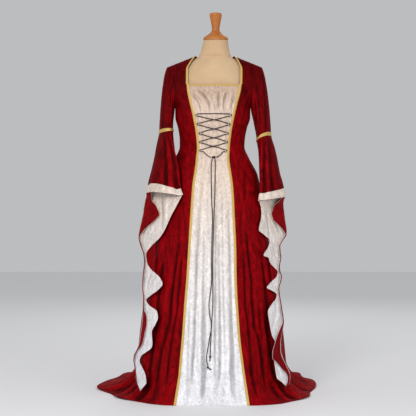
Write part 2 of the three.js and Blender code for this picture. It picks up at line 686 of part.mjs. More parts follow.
function buildSleeve(name, side, bellRows, trailRows) {
  const flipped = side > 0;
  const shift = new THREE.Vector3(side * SLEEVE_GAP, 0, 0);
  const quad = (piece, rows, row, column) => {
    const above = rows[row];
    const below = rows[row + 1];
    const next = (column + 1) % SLEEVE_COLUMNS;
    addFace(piece, [above[column], below[column], below[next], above[next]], flipped);
  };
  const elbow = [];
  for (let column = 0; column < SLEEVE_COLUMNS; column += 1) {
    elbow.push(bellPoint(side, bellRows[0], column));
  }
  const loop = armholeLoop(name, side);
  const upper = [loop.map((point) => addPoint(point.clone().add(shift)))];
  UPPER_STEPS.forEach((step) => {
    const row = loop.map((point, column) => {
      const outward = (1 + Math.cos((2 * Math.PI * column) / SLEEVE_COLUMNS)) / 2;
      const leave = new THREE.Vector3(
        side * (SHOULDER_LEAVE.out + SHOULDER_LEAVE.outerOut * outward),
        0,
        SHOULDER_LEAVE.outerUp * outward - SHOULDER_LEAVE.down,
      );
      const arrive = new THREE.Vector3(0, 0, ELBOW_ARRIVE.up + ELBOW_ARRIVE.outerUp * outward);
      const path = new THREE.CubicBezierCurve3(
        point,
        point.clone().add(leave),
        elbow[column].clone().add(arrive),
        elbow[column],
      );
      return addPoint(path.getPoint(step).add(shift));
    });
    upper.push(row);
  });
  const mixed = Object.fromEntries(Object.keys(bellRows[0]).map((key) => [
    key,
    THREE.MathUtils.lerp(bellRows[0][key], bellRows[1][key], ELBOW_STEP),
  ]));
  const bell = [bellRows[0], mixed, ...bellRows.slice(1)].map((row) => {
    const line = [];
    for (let column = 0; column < SLEEVE_COLUMNS; column += 1) {
      line.push(addPoint(bellPoint(side, row, column).add(shift)));
    }
    return line;
  });
  upper.push(bell[0]);
  for (let row = 0; row + 1 < upper.length; row += 1) {
    for (let column = 0; column < SLEEVE_COLUMNS; column += 1) {
      quad(`sleeve_upper_${name}`, upper, row, column);
    }
  }
  for (let row = 0; row + 1 < bell.length; row += 1) {
    for (let column = 0; column < SLEEVE_COLUMNS; column += 1) {
      quad(`sleeve_bell_${name}`, bell, row, column);
    }
  }
  const trail = [bell[bell.length - 1]];
  trailRows.forEach((row) => {
    const line = [];
    for (let column = FRONT_COLUMN; column <= BACK_COLUMN + FLAP_COLUMNS; column += 1) {
      line[column] = addPoint(trailPoint(side, row, column).add(shift));
    }
    trail.push(line);
  });
  for (let row = 0; row + 1 < trail.length; row += 1) {
    for (let column = FRONT_COLUMN; column < BACK_COLUMN + FLAP_COLUMNS; column += 1) {
      quad(`sleeve_bell_${name}`, trail, row, column);
    }
  }
  return { upper, bell, trail };
}

const sleeves = {
  left: buildSleeve('left', -1, BELL_ROWS_LEFT, TRAIL_ROWS_LEFT),
  right: buildSleeve('right', 1, BELL_ROWS_RIGHT, TRAIL_ROWS_RIGHT),
};

// Outward normals, shared wherever two points of the skin lie on the same seam

function skinNormals() {
  const sums = points.map(() => new THREE.Vector3());
  faces.forEach(({ corners }) => {
    const [a, b, c, d] = corners.map((index) => points[index]);
    const across = c.clone().sub(a);
    const area = across.cross(d.clone().sub(b));
    corners.forEach((index) => sums[index].add(area));
  });
  [['left', -1], ['right', 1]].forEach(([name, side]) => {
    const loop = sleeves[name].upper[0];
    loop.forEach((index) => {
      const point = points[index];
      const partner = points.findIndex((other) => (
        other !== point && Math.abs(other.x + side * SLEEVE_GAP - point.x) < 0.01
        && Math.abs(other.y - point.y) < 0.01 && Math.abs(other.z - point.z) < 0.01
      ));
      const total = sums[index].clone().add(sums[partner]);
      sums[index].copy(total);
      sums[partner].copy(total);
    });
    const underarm = loop[SLEEVE_COLUMNS / 2];
    sums[underarm].set(0, 0, -1);
    sums[name === 'left' ? skirtRows[0][0] : skirtRows[0][RIGHT_SIDE]].set(0, 0, -1);
  });
  return sums.map((sum) => sum.normalize());
}

const normals = skinNormals();

// A wall of cloth between two distances from the skin, on the chosen faces.
// Its edges are drawn in by half a seam gap.
function wall(chosen, near, far) {
  const used = new Map();
  const place = (index) => {
    if (!used.has(index)) used.set(index, used.size);
    return used.get(index);
  };
  const edges = new Map();
  const triangles = [];
  chosen.forEach(({ corners }) => {
    const [a, b, c, d] = corners.map(place);
    triangles.push([a, b, c], [a, c, d]);
    corners.forEach((index, i) => {
      edges.set(`${index} ${corners[(i + 1) % 4]}`, [index, corners[(i + 1) % 4]]);
    });
  });
  const rims = [...edges.values()].filter(([from, to]) => !edges.has(`${to} ${from}`));
  const inwards = new Map();
  rims.flat().forEach((index) => inwards.set(index, new THREE.Vector3()));
  const rimKeys = new Set(rims.map(([from, to]) => `${from} ${to}`));
  chosen.forEach(({ corners }) => {
    corners.forEach((index, i) => {
      const next = corners[(i + 1) % 4];
      if (!rimKeys.has(`${index} ${next}`)) return;
      const opposite = corners[(i + 3) % 4];
      const across = corners[(i + 2) % 4];
      inwards.get(index).add(points[opposite].clone().sub(points[index]).normalize());
      inwards.get(next).add(points[across].clone().sub(points[next]).normalize());
    });
  });
  const count = used.size;
  const flat = new Float32Array(count * 6);
  used.forEach((slot, index) => {
    const base = points[index].clone();
    if (inwards.has(index)) base.addScaledVector(inwards.get(index).normalize(), SEAM_INSET);
    [far, near].forEach((distance, layer) => {
      const place3 = base.clone().addScaledVector(normals[index], distance);
      place3.z = Math.max(0, place3.z);
      place3.toArray(flat, (slot + layer * count) * 3);
    });
  });
  const index = [];
  triangles.forEach(([a, b, c]) => {
    index.push(a, b, c, a + count, c + count, b + count);
  });
  rims.forEach(([from, to]) => {
    const a = used.get(from);
    const b = used.get(to);
    index.push(b, a, a + count, b, a + count, b + count);
  });
  const geometry = new THREE.BufferGeometry();
  geometry.setAttribute('position', new THREE.BufferAttribute(flat, 3));
  geometry.setIndex(index);
  geometry.computeVertexNormals();
  return geometry;
}

// The whole object

const gown = new THREE.Group();

function add(name, geometry, finish) {
  const mesh = new THREE.Mesh(geometry, new THREE.MeshStandardMaterial(finish));
  mesh.name = name;
  gown.add(mesh);
  return mesh;
}

const facesOf = (piece) => faces.filter((face) => face.piece === piece);
['front_side_left', 'front_side_right', 'back'].forEach((piece) => {
  add(piece, wall(facesOf(piece), -VELVET, 0), RED);
});
add('front_insert', wall(facesOf('front_insert'), -VELVET, 0), IVORY);
['left', 'right'].forEach((name) => {
  add(`sleeve_upper_${name}`, wall(facesOf(`sleeve_upper_${name}`), -VELVET, 0), RED);
  add(`sleeve_bell_${name}`, wall(facesOf(`sleeve_bell_${name}`), -VELVET, 0), RED);
});

// Faces between neighbouring points of two rows of the skin
function strip(rows, columns, flipped = false) {
  const chosen = [];
  for (let row = 0; row + 1 < rows.length; row += 1) {
    for (let i = 0; i + 1 < columns.length; i += 1) {
      const [from, to] = [columns[i], columns[i + 1]];
      const corners = [rows[row][from], rows[row + 1][from], rows[row + 1][to], rows[row][to]];
      chosen.push({ corners: flipped ? corners.reverse() : corners });
    }
  }
  return chosen;
}

// Gold braid over the seams of the insert, and along the edge of the neckline above it
function sideBraid(name, side) {
  const edge = side < 0 ? LEFT_EDGE : RIGHT_EDGE;
  const yoke = strip(frontYoke[name], [0, 1], side < 0);
  const beside = side < 0 ? [0, 1] : [INSERT_COLUMNS + 1, INSERT_COLUMNS + 2];
  const onInsert = strip(insertRows, beside);
  const skirt = strip(skirtRows, [edge - 1, edge, edge + 1]);
  return wall([...yoke, ...onInsert, ...skirt], SEAM_GAP, SEAM_GAP + BRAID);
}
add('braid_left', sideBraid('left', -1), GOLD);
add('braid_right', sideBraid('right', 1), GOLD);

const ring = (from, to) => {
  const columns = [];
  for (let column = from; column <= to; column += 1) columns.push(column % SLEEVE_COLUMNS);
  return columns;
};

add('braid_top_edge', wall(
  strip(insertRows.slice(0, 2), insertRows[0].map((point, i) => i).slice(1, -1)),
  SEAM_GAP,
  SEAM_GAP + BRAID,
), GOLD);
add('braid_back_neck', wall(
  strip(backRows.slice(0, 2), backRows[0].map((point, i) => i).slice(SIDE_COLUMNS + 1, -SIDE_COLUMNS - 1)),
  SEAM_GAP,
  SEAM_GAP + BRAID,
), GOLD);

// Elbow braid, turned-back cuff and the lining where it shows
const LINING_NEAR = -(VELVET + SEAM_GAP + LINING);
[['left', false], ['right', true]].forEach(([name, flipped]) => {
  const { upper, bell, trail } = sleeves[name];
  const elbow = [upper[upper.length - 2], bell[0], bell[1]];
  const cuff = bell.slice(-2);
  const lined = [bell[bell.length - 2], ...trail];
  const band = strip(elbow, ring(0, SLEEVE_COLUMNS), flipped);
  add(`elbow_braid_${name}`, wall(band, SEAM_GAP, SEAM_GAP + BRAID), GOLD);
  const turned = strip(cuff, ring(BACK_COLUMN, SLEEVE_COLUMNS + FRONT_COLUMN), flipped);
  add(`cuff_${name}`, wall(turned, SEAM_GAP, SEAM_GAP + CUFF), IVORY);
  const shown = strip(lined, ring(FRONT_COLUMN, BACK_COLUMN - 1), flipped);
  add(`bell_lining_${name}`, wall(shown, LINING_NEAR, LINING_NEAR + LINING), IVORY);
});

// Lacing

// Outside of the insert, and the direction out of it, at a place across and up the front
function frontAt(x, z, rise) {
  const ellipse = (u, v) => {
    const along = (u - axisAt(v)) / body('half', v);
    return -body('front', v) * Math.sqrt(1 - along * along);
  };
  const surface = (u, v) => {
    const below = SKIRT_LEVELS.findIndex((level) => level <= v);
    const [high, low] = [SKIRT_LEVELS[below - 1], SKIRT_LEVELS[below]];
    return THREE.MathUtils.lerp(ellipse(u, low), ellipse(u, high), (v - low) / (high - low));
  };
  const step = 1;
  const slopeX = (surface(x + step, z) - surface(x - step, z)) / (2 * step);
  const slopeZ = (surface(x, z + step) - surface(x, z - step)) / (2 * step);
  const out = new THREE.Vector3(slopeX, -1, slopeZ).normalize();
  return new THREE.Vector3(x, surface(x, z), z).addScaledVector(out, rise);
}

function circle(radius, sides) {
  const shape = new THREE.Shape();
  for (let i = 0; i < sides; i += 1) {
    const angle = (2 * Math.PI * i) / sides;
    const place = [radius * Math.cos(angle), radius * Math.sin(angle)];
    if (i === 0) shape.moveTo(...place);
    else shape.lineTo(...place);
  }
  return shape;
}

function tube(route, diameter, sides, steps) {
  const path = new THREE.CatmullRomCurve3(route, false, 'centripetal');
  path.arcLengthDivisions = 600;
  return new THREE.ExtrudeGeometry(circle(diameter / 2, sides), {
    steps,
    bevelEnabled: false,
    extrudePath: path,
  });
}

const loopX = (side, row) => insert('axis', row.z) + side * row.reach;

// The lace turns round behind a loop, going up for 1 and down for -1
function turnRoute(side, row, climb) {
  const x = loopX(side, row);
  const out = side * LACE_TURN;
  return [
    frontAt(x - side * TURN_REACH, row.z - climb * TURN_DROP, LACE_RISE),
    frontAt(x, row.z - climb * LACE_TURN, LACE_RISE),
    frontAt(x + out * TURN_CORNER.out, row.z - climb * LACE_TURN * TURN_CORNER.drop, LACE_RISE),
    frontAt(x + out * TURN_OUT, row.z, LACE_RISE),
    frontAt(x + out * TURN_CORNER.out, row.z + climb * LACE_TURN * TURN_CORNER.drop, LACE_RISE),
    frontAt(x, row.z + climb * LACE_TURN, LACE_RISE),
    frontAt(x - side * TURN_REACH, row.z + climb * TURN_DROP, LACE_RISE),
  ];
}

// Middle part of a strand between two loops; it passes over or under the other strand
function strandRoute(fromSide, fromRow, toSide, toRow, over) {
  const climb = Math.sign(toRow.z - fromRow.z);
  const startX = loopX(fromSide, fromRow);
  const endX = loopX(toSide, toRow);
  const startZ = fromRow.z + climb * TURN_DROP;
  const endZ = toRow.z - climb * TURN_DROP;
  const humps = [
    { part: STRAND_PARTS.start, rise: LACE_RISE },
    { part: STRAND_PARTS.rising, rise: over ? LACE_OVER - 1 : LACE_RISE },
    { part: STRAND_PARTS.middle, rise: over ? LACE_OVER : LACE_RISE },
    { part: STRAND_PARTS.falling, rise: over ? LACE_OVER - 1 : LACE_RISE },
    { part: STRAND_PARTS.end, rise: LACE_RISE },
  ];
  return humps.map(({ part, rise }) => frontAt(
    THREE.MathUtils.lerp(startX, endX, part),
    THREE.MathUtils.lerp(startZ, endZ, part),
    rise,
  ));
}

function lacingRoute() {
  const last = LOOP_ROWS.length - 1;
  const nearKnot = (side) => [
    frontAt(KNOT.x + side * (KNOT.half + KNOT_LEAD.gap), KNOT.z, KNOT_LEAD.rise),
    frontAt(KNOT.x + side * KNOT_LEAD.x, KNOT.z + KNOT_LEAD.z, LACE_RISE),
  ];
  let side = -1;
  const route = nearKnot(side);
  for (let row = last; row > 0; row -= 1) {
    route.push(...turnRoute(side, LOOP_ROWS[row], 1));
    route.push(...strandRoute(side, LOOP_ROWS[row], -side, LOOP_ROWS[row - 1], row % 2 === 0));
    side = -side;
  }
  route.push(...turnRoute(side, LOOP_ROWS[0], 1));
  const bar = LOOP_ROWS[0].z + TURN_DROP;
  [STRAND_PARTS.start, STRAND_PARTS.middle, STRAND_PARTS.end].forEach((part) => {
    const from = loopX(side, LOOP_ROWS[0]);
    const to = loopX(-side, LOOP_ROWS[0]);
    route.push(frontAt(THREE.MathUtils.lerp(from, to, part), bar, LACE_RISE));
  });
  side = -side;
  route.push(...turnRoute(side, LOOP_ROWS[0], -1));
  for (let row = 1; row <= last; row += 1) {
    route.push(...strandRoute(side, LOOP_ROWS[row - 1], -side, LOOP_ROWS[row], row % 2 === 1));
    side = -side;
    route.push(...turnRoute(side, LOOP_ROWS[row], -1));
  }
  route.push(...nearKnot(side).reverse());
  return route;
}

add('lacing', tube(lacingRoute(), LACE, 6, LACE_STEPS), CORD);

// Turns a piece so that its own Z points along aim
function aimed(geometry, place, aim) {
  const up = new THREE.Vector3(0, 0, 1);
  geometry.applyQuaternion(new THREE.Quaternion().setFromUnitVectors(up, aim.clone().normalize()));
  return geometry.translate(place.x, place.y, place.z);
}

function lathe(profile, sides) {
  const outline = profile.map(([radius, height]) => new THREE.Vector2(radius, height));
  return new THREE.LatheGeometry(outline, sides).rotateX(Math.PI / 2);
}

const knotBall = new THREE.SphereGeometry(1, 12, 8).scale(KNOT.half, KNOT.deep, KNOT.tall);
const knotPlace = frontAt(KNOT.x, KNOT.z, KNOT.deep + KNOT_LIFT);
add('lace_knot', knotBall.translate(knotPlace.x, knotPlace.y, knotPlace.z), CORD);

function lacePoints(rows) {
  return rows.map(({ x, z, rise }) => frontAt(x, z, rise));
}

function endKnot(end) {
  const knot = frontAt(end.x, end.z, END_KNOT_RADIUS + END_LIFT);
  const tip = frontAt(end.x + end.aimX * END_LENGTH, end.z + end.aimZ * END_LENGTH, LACE_RISE);
  const r = END_KNOT_RADIUS;
  const near = r * KNOT_SHOULDER;
  const profile = [[0, -r], [near, -near], [r, 0], [near, near]];
  profile.push([LACE / 2, r], [LACE / 2 + TASSEL_FLARE, END_LENGTH], [0, END_LENGTH]);
  return aimed(lathe(profile, 8), knot, tip.sub(knot));
}

add('lace_tail_left', tube(lacePoints(TAIL_LEFT), LACE, 8, TAIL_STEPS), CORD);
add('lace_tail_right', tube(lacePoints(TAIL_RIGHT), LACE, 8, TAIL_STEPS), CORD);
add('lace_end_left', endKnot(END_LEFT), CORD);
add('lace_end_right', endKnot(END_RIGHT), CORD);

// A loop is a small arch of cord sewn down above and below the lace
function laceLoop(side, row) {
  const shape = new THREE.Shape();
  shape.moveTo(-LOOP_HALF_SPAN, LOOP_FOOT);
  shape.lineTo(-LOOP_HALF_SPAN, LOOP_HEIGHT - LOOP_BEVEL);
  shape.lineTo(-LOOP_HALF_SPAN + LOOP_BEVEL, LOOP_HEIGHT);
  shape.lineTo(LOOP_HALF_SPAN - LOOP_BEVEL, LOOP_HEIGHT);
  shape.lineTo(LOOP_HALF_SPAN, LOOP_HEIGHT - LOOP_BEVEL);
  shape.lineTo(LOOP_HALF_SPAN, LOOP_FOOT);
  shape.lineTo(LOOP_HALF_SPAN - LOOP_WALL, LOOP_FOOT);
  shape.lineTo(LOOP_HALF_SPAN - LOOP_WALL, LOOP_HEIGHT - LOOP_INNER_BEVEL);
  shape.lineTo(LOOP_HALF_SPAN - LOOP_INNER_BEVEL, LOOP_HEIGHT - LOOP_WALL);
  shape.lineTo(-LOOP_HALF_SPAN + LOOP_INNER_BEVEL, LOOP_HEIGHT - LOOP_WALL);
  shape.lineTo(-LOOP_HALF_SPAN + LOOP_WALL, LOOP_HEIGHT - LOOP_INNER_BEVEL);
  shape.lineTo(-LOOP_HALF_SPAN + LOOP_WALL, LOOP_FOOT);
  const geometry = new THREE.ExtrudeGeometry(shape, { depth: LOOP_WIDTH, bevelEnabled: false });
  geometry.translate(0, 0, -LOOP_WIDTH / 2);
  const x = loopX(side, row);
  const place = frontAt(x, row.z, 0);
  const out = frontAt(x, row.z, 1).sub(place).normalize();
  const up = new THREE.Vector3(0, 0, 1).addScaledVector(out, -out.z).normalize();
  const across = new THREE.Vector3().crossVectors(up, out);
  geometry.applyMatrix4(new THREE.Matrix4().makeBasis(up, out, across));
  return geometry.translate(place.x, place.y, place.z);
}

LOOP_ROWS.forEach((row, i) => {
  add(`lace_loop_left_${i + 1}`, laceLoop(-1, row), IVORY);
  add(`lace_loop_right_${i + 1}`, laceLoop(1, row), IVORY);
});

// Dress form

function formRing(z, half, depthOf) {
  const line = [];
  for (let i = 0; i <= FORM_COLUMNS; i += 1) {
    const offset = -half * Math.cos((Math.PI * i) / FORM_COLUMNS);
    line.push(new THREE.Vector3(axisAt(z) + offset, -Math.max(FORM_SIDE_HALF, depthOf(offset, 'front')), z));
  }
  for (let i = FORM_COLUMNS; i >= 0; i -= 1) {
    const offset = -half * Math.cos((Math.PI * i) / FORM_COLUMNS);
    line.push(new THREE.Vector3(axisAt(z) + offset, Math.max(FORM_SIDE_HALF, depthOf(offset, 'back')), z));
  }
  return line;
}

function formRings() {
  const rings = [...FORM_ROWS].reverse().map((row) => formRing(row.z, row.half, (offset, column) => (
    row[column] * Math.sqrt(Math.max(0, 1 - (offset / row.half) ** 2))
  )));
  const neck = (offset) => Math.sqrt(Math.max(0, NECK_DEPTH ** 2 - offset ** 2));
  const yoke = (z) => (offset, column) => Math.max(
    yokeDepth(offset, z, body(column, UNDERARM), FORM_CLEAR),
    z > SHOULDER_LEVELS[2] ? neck(offset) : 0,
  );
  SHOULDER_LEVELS.forEach((z) => {
    const slope = NECK_HALF + (SHOULDER - FORM_CLEAR - z) / SHOULDER_SLOPE;
    const climb = (z - UNDERARM) / (ridge(SHOULDER_HALF) - UNDERARM);
    const half = Math.min(armholeHalf(climb) - FORM_CLEAR, slope);
    rings.push(formRing(z, half, yoke(z)));
  });
  NECK_ROWS.forEach(({ z, half, deep }) => {
    const round = (offset) => deep * Math.sqrt(Math.max(0, 1 - (offset / half) ** 2));
    rings.push(formRing(z, half, round));
  });
  return rings;
}

// Closed solid through rings of equal count, with flat ends
function loft(rings) {
  const count = rings[0].length;
  const flat = rings.flat().flatMap((point) => point.toArray());
  const index = [];
  for (let level = 0; level + 1 < rings.length; level += 1) {
    for (let i = 0; i < count; i += 1) {
      const a = level * count + i;
      const b = level * count + ((i + 1) % count);
      index.push(a, b, b + count, a, b + count, a + count);
    }
  }
  [[0, true], [rings.length - 1, false]].forEach(([level, under]) => {
    const outline = rings[level].map((point) => new THREE.Vector2(point.x, point.y));
    THREE.ShapeUtils.triangulateShape(outline, []).forEach(([a, b, c]) => {
      const corners = [a, b, c].map((i) => level * count + i);
      index.push(...(under ? corners.reverse() : corners));
    });
  });
  const geometry = new THREE.BufferGeometry();
  geometry.setAttribute('position', new THREE.Float32BufferAttribute(flat, 3));
  geometry.setIndex(index);
  return geometry;
}

add('form_torso', loft(formRings()), CREAM);

// Turned cap and finial on the neck, as radius and height
const CAP_PROFILE = [
  [0, 1480], [49, 1480], [52, 1483], [52, 1495], [50, 1498], [30, 1506], [20, 1511], [16, 1518],
  [17, 1532], [21, 1556], [24.5, 1570], [25.5, 1580], [22, 1586], [12, 1589.5], [0, 1590.5],
];
const cap = add('form_cap', lathe(CAP_PROFILE, 16), WOOD);
cap.position.set(CAP_AXIS, 0, 0);

const BASE_PROFILE = [
  [0, 0], [BASE_RADIUS, 0], [BASE_RADIUS, 6], [BASE_RADIUS - 6, 10], [40, BASE_HEIGHT], [0, BASE_HEIGHT],
];
add('stand_base', lathe(BASE_PROFILE, 24), METAL);
const poleLow = BASE_HEIGHT + SEAM_GAP;
const poleHigh = FORM_ROWS[FORM_ROWS.length - 1].z - SEAM_GAP;
const pole = new THREE.CylinderGeometry(POLE_RADIUS, POLE_RADIUS, poleHigh - poleLow, 16);
pole.rotateX(Math.PI / 2).translate(0, 0, (poleLow + poleHigh) / 2);
add('stand_pole', pole, METAL);

export default gown;
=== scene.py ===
# Looks of a medieval gown of crushed velvet, worn by a limbless dress form.
# Tables and shape functions are in millimetres; meshes are made in metres.
# The front faces -Y. Left and right are as seen from the front: left is -X.
import math

import bpy
import numpy as np
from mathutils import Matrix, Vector


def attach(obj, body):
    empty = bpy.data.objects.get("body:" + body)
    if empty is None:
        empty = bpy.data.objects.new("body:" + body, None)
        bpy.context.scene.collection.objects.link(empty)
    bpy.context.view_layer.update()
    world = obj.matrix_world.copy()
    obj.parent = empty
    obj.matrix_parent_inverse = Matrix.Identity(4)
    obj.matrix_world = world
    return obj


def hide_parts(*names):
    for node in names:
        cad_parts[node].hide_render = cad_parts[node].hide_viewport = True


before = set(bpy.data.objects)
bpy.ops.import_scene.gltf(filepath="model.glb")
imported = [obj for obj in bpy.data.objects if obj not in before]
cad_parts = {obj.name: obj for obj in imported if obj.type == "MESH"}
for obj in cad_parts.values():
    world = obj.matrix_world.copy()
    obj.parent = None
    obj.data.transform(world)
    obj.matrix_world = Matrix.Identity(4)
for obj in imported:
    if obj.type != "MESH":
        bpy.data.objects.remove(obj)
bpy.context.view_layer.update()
MM = 0.001
METRE = 1000


def table(columns, *rows):
    return [dict(zip(columns.split(), row)) for row in rows]


# Cloth, trim and the gaps at seams

VELVET = 2.4
LINING = 1.2
SEAM_GAP = 0.3
SLEEVE_GAP = 0.8
BRAID = 1.8
BRAID_HALF = 5
CUFF = 3

# Main heights of the gown

SHOULDER = 1410
UNDERARM = 1190
SPREAD_TOP = 110
NECK_HALF = 80
SHOULDER_SLOPE = 0.4
SHOULDER_HALF = 197
UNDERARM_HALF = 158
BACK_NECK_DROP = 22
YOKE_HALF = 215
YOKE_WIDENS = 75
YOKE_LEAN = 0.08
YOKE_ROUND = 2.2
ARMHOLE_CURVE = 1.6
AXIS_UNDERARM = 3
AXIS_SHOULDER = 12

# Gown from the underarm down: half width, depth before and behind, and the sway of its axis
BODY_ROWS = table(
    "z half front back axis",
    (1190, 158, 116, 104, 3),
    (1150, 157, 122, 102, 3),
    (1108, 145, 110, 94, 2),
    (1060, 137, 97, 87, 1),
    (1030, 136, 93, 88, 0),
    (982, 155, 108, 112, 0),
    (906, 193, 136, 160, 0),
    (600, 246, 208, 262, 0),
    (327, 294, 270, 345, 0),
    (110, 318, 314, 430, 0),
)

# Centre front insert: half width between the braids and the sway of its middle
INSERT_ROWS = table(
    "z half axis",
    (1410, 80, 12),
    (1378, 98, 10),
    (1350, 109, 9),
    (1280, 108, 8),
    (1201, 93, 6),
    (1145, 80, 6),
    (1078, 68, 6),
    (1018, 63, 5),
    (977, 64, 2),
    (856, 79, 2),
    (731, 86, 1),
    (611, 92, 0),
    (493, 96, -3),
    (375, 103, -5),
    (259, 111, -5),
    (144, 123, -3),
    (110, 127, -2),
)

# Edge of the gown on the floor, by the turn from the front in degrees.
# spread is 0 where the hem only touches the floor and 1 where the cloth pools on it.
HEM_ROWS = table(
    "turn left right y spread",
    (0, 0, 0, -334, 0),
    (24, 147, 147, -338, 0.05),
    (42, 246, 268, -312, 0.6),
    (58, 345, 356, -222, 1),
    (75, 440, 420, -70, 1),
    (90, 493, 452, 95, 1),
    (110, 485, 455, 300, 1),
    (132, 420, 420, 480, 1),
    (156, 230, 230, 600, 1),
    (180, 0, 0, 650, 1),
)

# Heights where the yoke's rows start, from the shoulder to the underarm
YOKE_LEVELS = (1410, 1403, 1388, 1362, 1325, 1280, 1274, 1235, 1190)
YOKE_LAST = len(YOKE_LEVELS) - 1
INSERT_FIRST = 5

# Rows and columns of the fine cloth, and the height between the skirt's rows
YOKE_FINE = 8
SKIRT_STEP = 7
SPREAD_ROWS = 40
SIDE_FINE = 70
BRAID_FINE = 3
INSERT_FINE = 78
BACK_FINE = 176

# Braids and seams: their columns and reach, where they start, and how round the trims are
BRAID_COLUMNS = 11
NECK_BRAID = 8.2
SEAM_INSET = 0.2
SEAM_PART = 8 / 22
SEAM_FADE = 5
BRAID_ROUNDING = 0.45
CUFF_ROUNDING = 0.55
ELBOW_BRAID_TOP = 0.96

# Painted shading: the relief that gives full painted shade in a valley and full painted highlight on a
# ridge, and the columns its mean is taken over in a sleeve.
# The red of the sleeves and above the bust is painted darker: painted shade, where the pile lies the other
# way and gives back less light.
SHADING_RELIEF = 2.6
RING_SHADING_REACH = 7
SLEEVE_SHADE = 0.6
YOKE_SHADE = 0.8
YOKE_SHADE_FROM = 1100
YOKE_SHADE_TO = 1270

# Height of the insert in metres, over which the ivory turns from silver to warm
INSERT_METRES = 1.3

# Folds: count round the skirt and across the insert, and their depth at the floor
SKIRT_FOLDS = 11
SKIRT_FOLD_DEPTH = 30
INSERT_FOLDS = 4
INSERT_FOLD_DEPTH = 10
FOLD_TOP = 1000
FOLD_CURVE = 1.3
FOLD_UNEVEN = 0.3
SEAM_CALM = (0.02, 0.16)
HEM_SCALLOP = 0.05
KNEE_HANGING = 0.5
KNEE_POOLED = 0.12
POOL_RIDGE = 22
POOL_START = 0.15
POOL_RUN = 0.75
POOL_WAVE = 5.5

# Small waves of the pile, and where along its line a crease swells and fades
PILE_WAVE = 0.45
SLEEVE_PILE_WAVE = 0.35
CREASE_SWELLS = (-0.05, 0.3)
CREASE_FADES = (0.72, 1.05)

# Sleeve rings from the elbow to the cuff, as distances from the gown's axis
BELL_COLUMNS = "z inner innerY outer outerY swell ease tilt slant bow"
BELL_ROWS = {
    "left": table(
        BELL_COLUMNS,
        (1092, 178, -70, 205, 72, 28, 28, -3, -4, 0),
        (1030, 160, -98, 223, 60, 34, 20, 0, 0, 0),
        (945, 140, -124, 241, 36, 43, 6, 0, 0, 0),
        (870, 128, -145, 260, 12, 48, 1, -8, 8, 11),
        (836, 119, -153, 265, 2, 51, 0, -5, 5, 6),
    ),
    "right": table(
        BELL_COLUMNS,
        (1064, 202, -72, 228, 70, 31, 28, 14, -6, 0),
        (1000, 198, -84, 252, 60, 38, 22, 8, -4, 0),
        (925, 194, -94, 273, 50, 41, 12, 0, 0, 0),
        (844, 192, -104, 292, 42, 44, 3, 4, 13, 0),
        (810, 190, -112, 297, 38, 45, 0, 4, 8, 0),
    ),
}

# Trailing end of each sleeve: its outline at the outer side, the edge that turns over to
# the front and the free inner edge, all as distances from the gown's axis
TRAIL_ROWS = {
    "left": table(
        "z fold flap free",
        (805, 281, 255, 130),
        (776, 287, 231, 145),
        (745, 292, 219, 162),
        (724, 296, 236, 172),
        (680, 305, 287, 192),
        (650, 309, 305, 212),
        (612, 299, 295, 250),
        (580, 286, 283, 271),
        (545, 282, 279, 266),
        (520, 284, 281, 249),
        (492, 287, 284, 213),
        (465, 288, 285, 198),
        (440, 288, 285, 216),
        (413, 284, 281, 250),
        (394, 283, 280, 267),
        (374, 284, 281, 252),
        (355, 284, 279, 220),
        (330, 284, 268, 216),
        (305, 286, 267, 225),
        (270, 290, 274, 241),
        (225, 296, 284, 238),
        (208, 301, 292, 242),
        (190, 309, 306, 262),
        (165, 321, 318, 288),
        (147, 323, 320, 293),
        (121, 318, 315, 278),
        (95, 313, 310, 265),
        (70, 309, 306, 261),
        (62, 306, 303, 266),
        (48, 297, 295, 277),
        (38, 290, 289, 284),
    ),
    "right": table(
        "z fold flap free",
        (776, 303, 257, 198),
        (748, 307, 249, 200),
        (728, 309, 253, 198),
        (705, 312, 276, 192),
        (682, 315, 299, 188),
        (660, 314, 310, 212),
        (636, 297, 294, 235),
        (612, 284, 281, 228),
        (577, 286, 283, 207),
        (568, 288, 285, 228),
        (548, 284, 281, 234),
        (527, 280, 277, 252),
        (507, 283, 280, 268),
        (488, 289, 286, 262),
        (468, 285, 282, 236),
        (448, 277, 274, 219),
        (436, 276, 273, 238),
        (416, 278, 275, 262),
        (400, 280, 277, 257),
        (384, 283, 280, 241),
        (352, 288, 285, 222),
        (325, 292, 289, 225),
        (305, 294, 290, 229),
        (285, 291, 280, 232),
        (258, 284, 266, 238),
        (222, 278, 252, 253),
        (195, 278, 244, 246),
        (172, 283, 243, 243),
        (155, 290, 259, 246),
        (126, 304, 281, 250),
        (88, 317, 308, 257),
        (72, 317, 307, 275),
        (54, 313, 298, 292),
    ),
}
TRAIL_CLEAR = 16
TRAIL_TURNS = 0.86
TRAIL_SPREAD = 0.7
FLAP_GAP = 25
FOLD_TURN = 8
FOLD_REACH = 12
FLAP_EASE = 0.4
FLAP_START = 0.6

# Where the red cloth of a trailing end shows beside its lining: its inner edge, at most
RED_EDGE_LEVELS = (300, 400, 440, 520, 620, 660)
RED_EDGE = {
    "left": (300, 262, 236, 232, 232, 240),
    "right": (300, 275, 250, 236, 236, 250),
}

# Upper sleeve: how its line leaves the armhole and arrives at the elbow, more at its outer side
LEAVE_OUT = 17
LEAVE_UP = 2
LEAVE_APART = 3
LEAVE_DOWN = 24
ARRIVE_UP = 25
ARRIVE_UP_OUTSIDE = 60
TUCK_IN = 0.045
TUCK_SIDE = 5

# The lining starts inside the bell and keeps clear of its inner corner
LINING_START = 0.35
LINING_CLEAR = 5

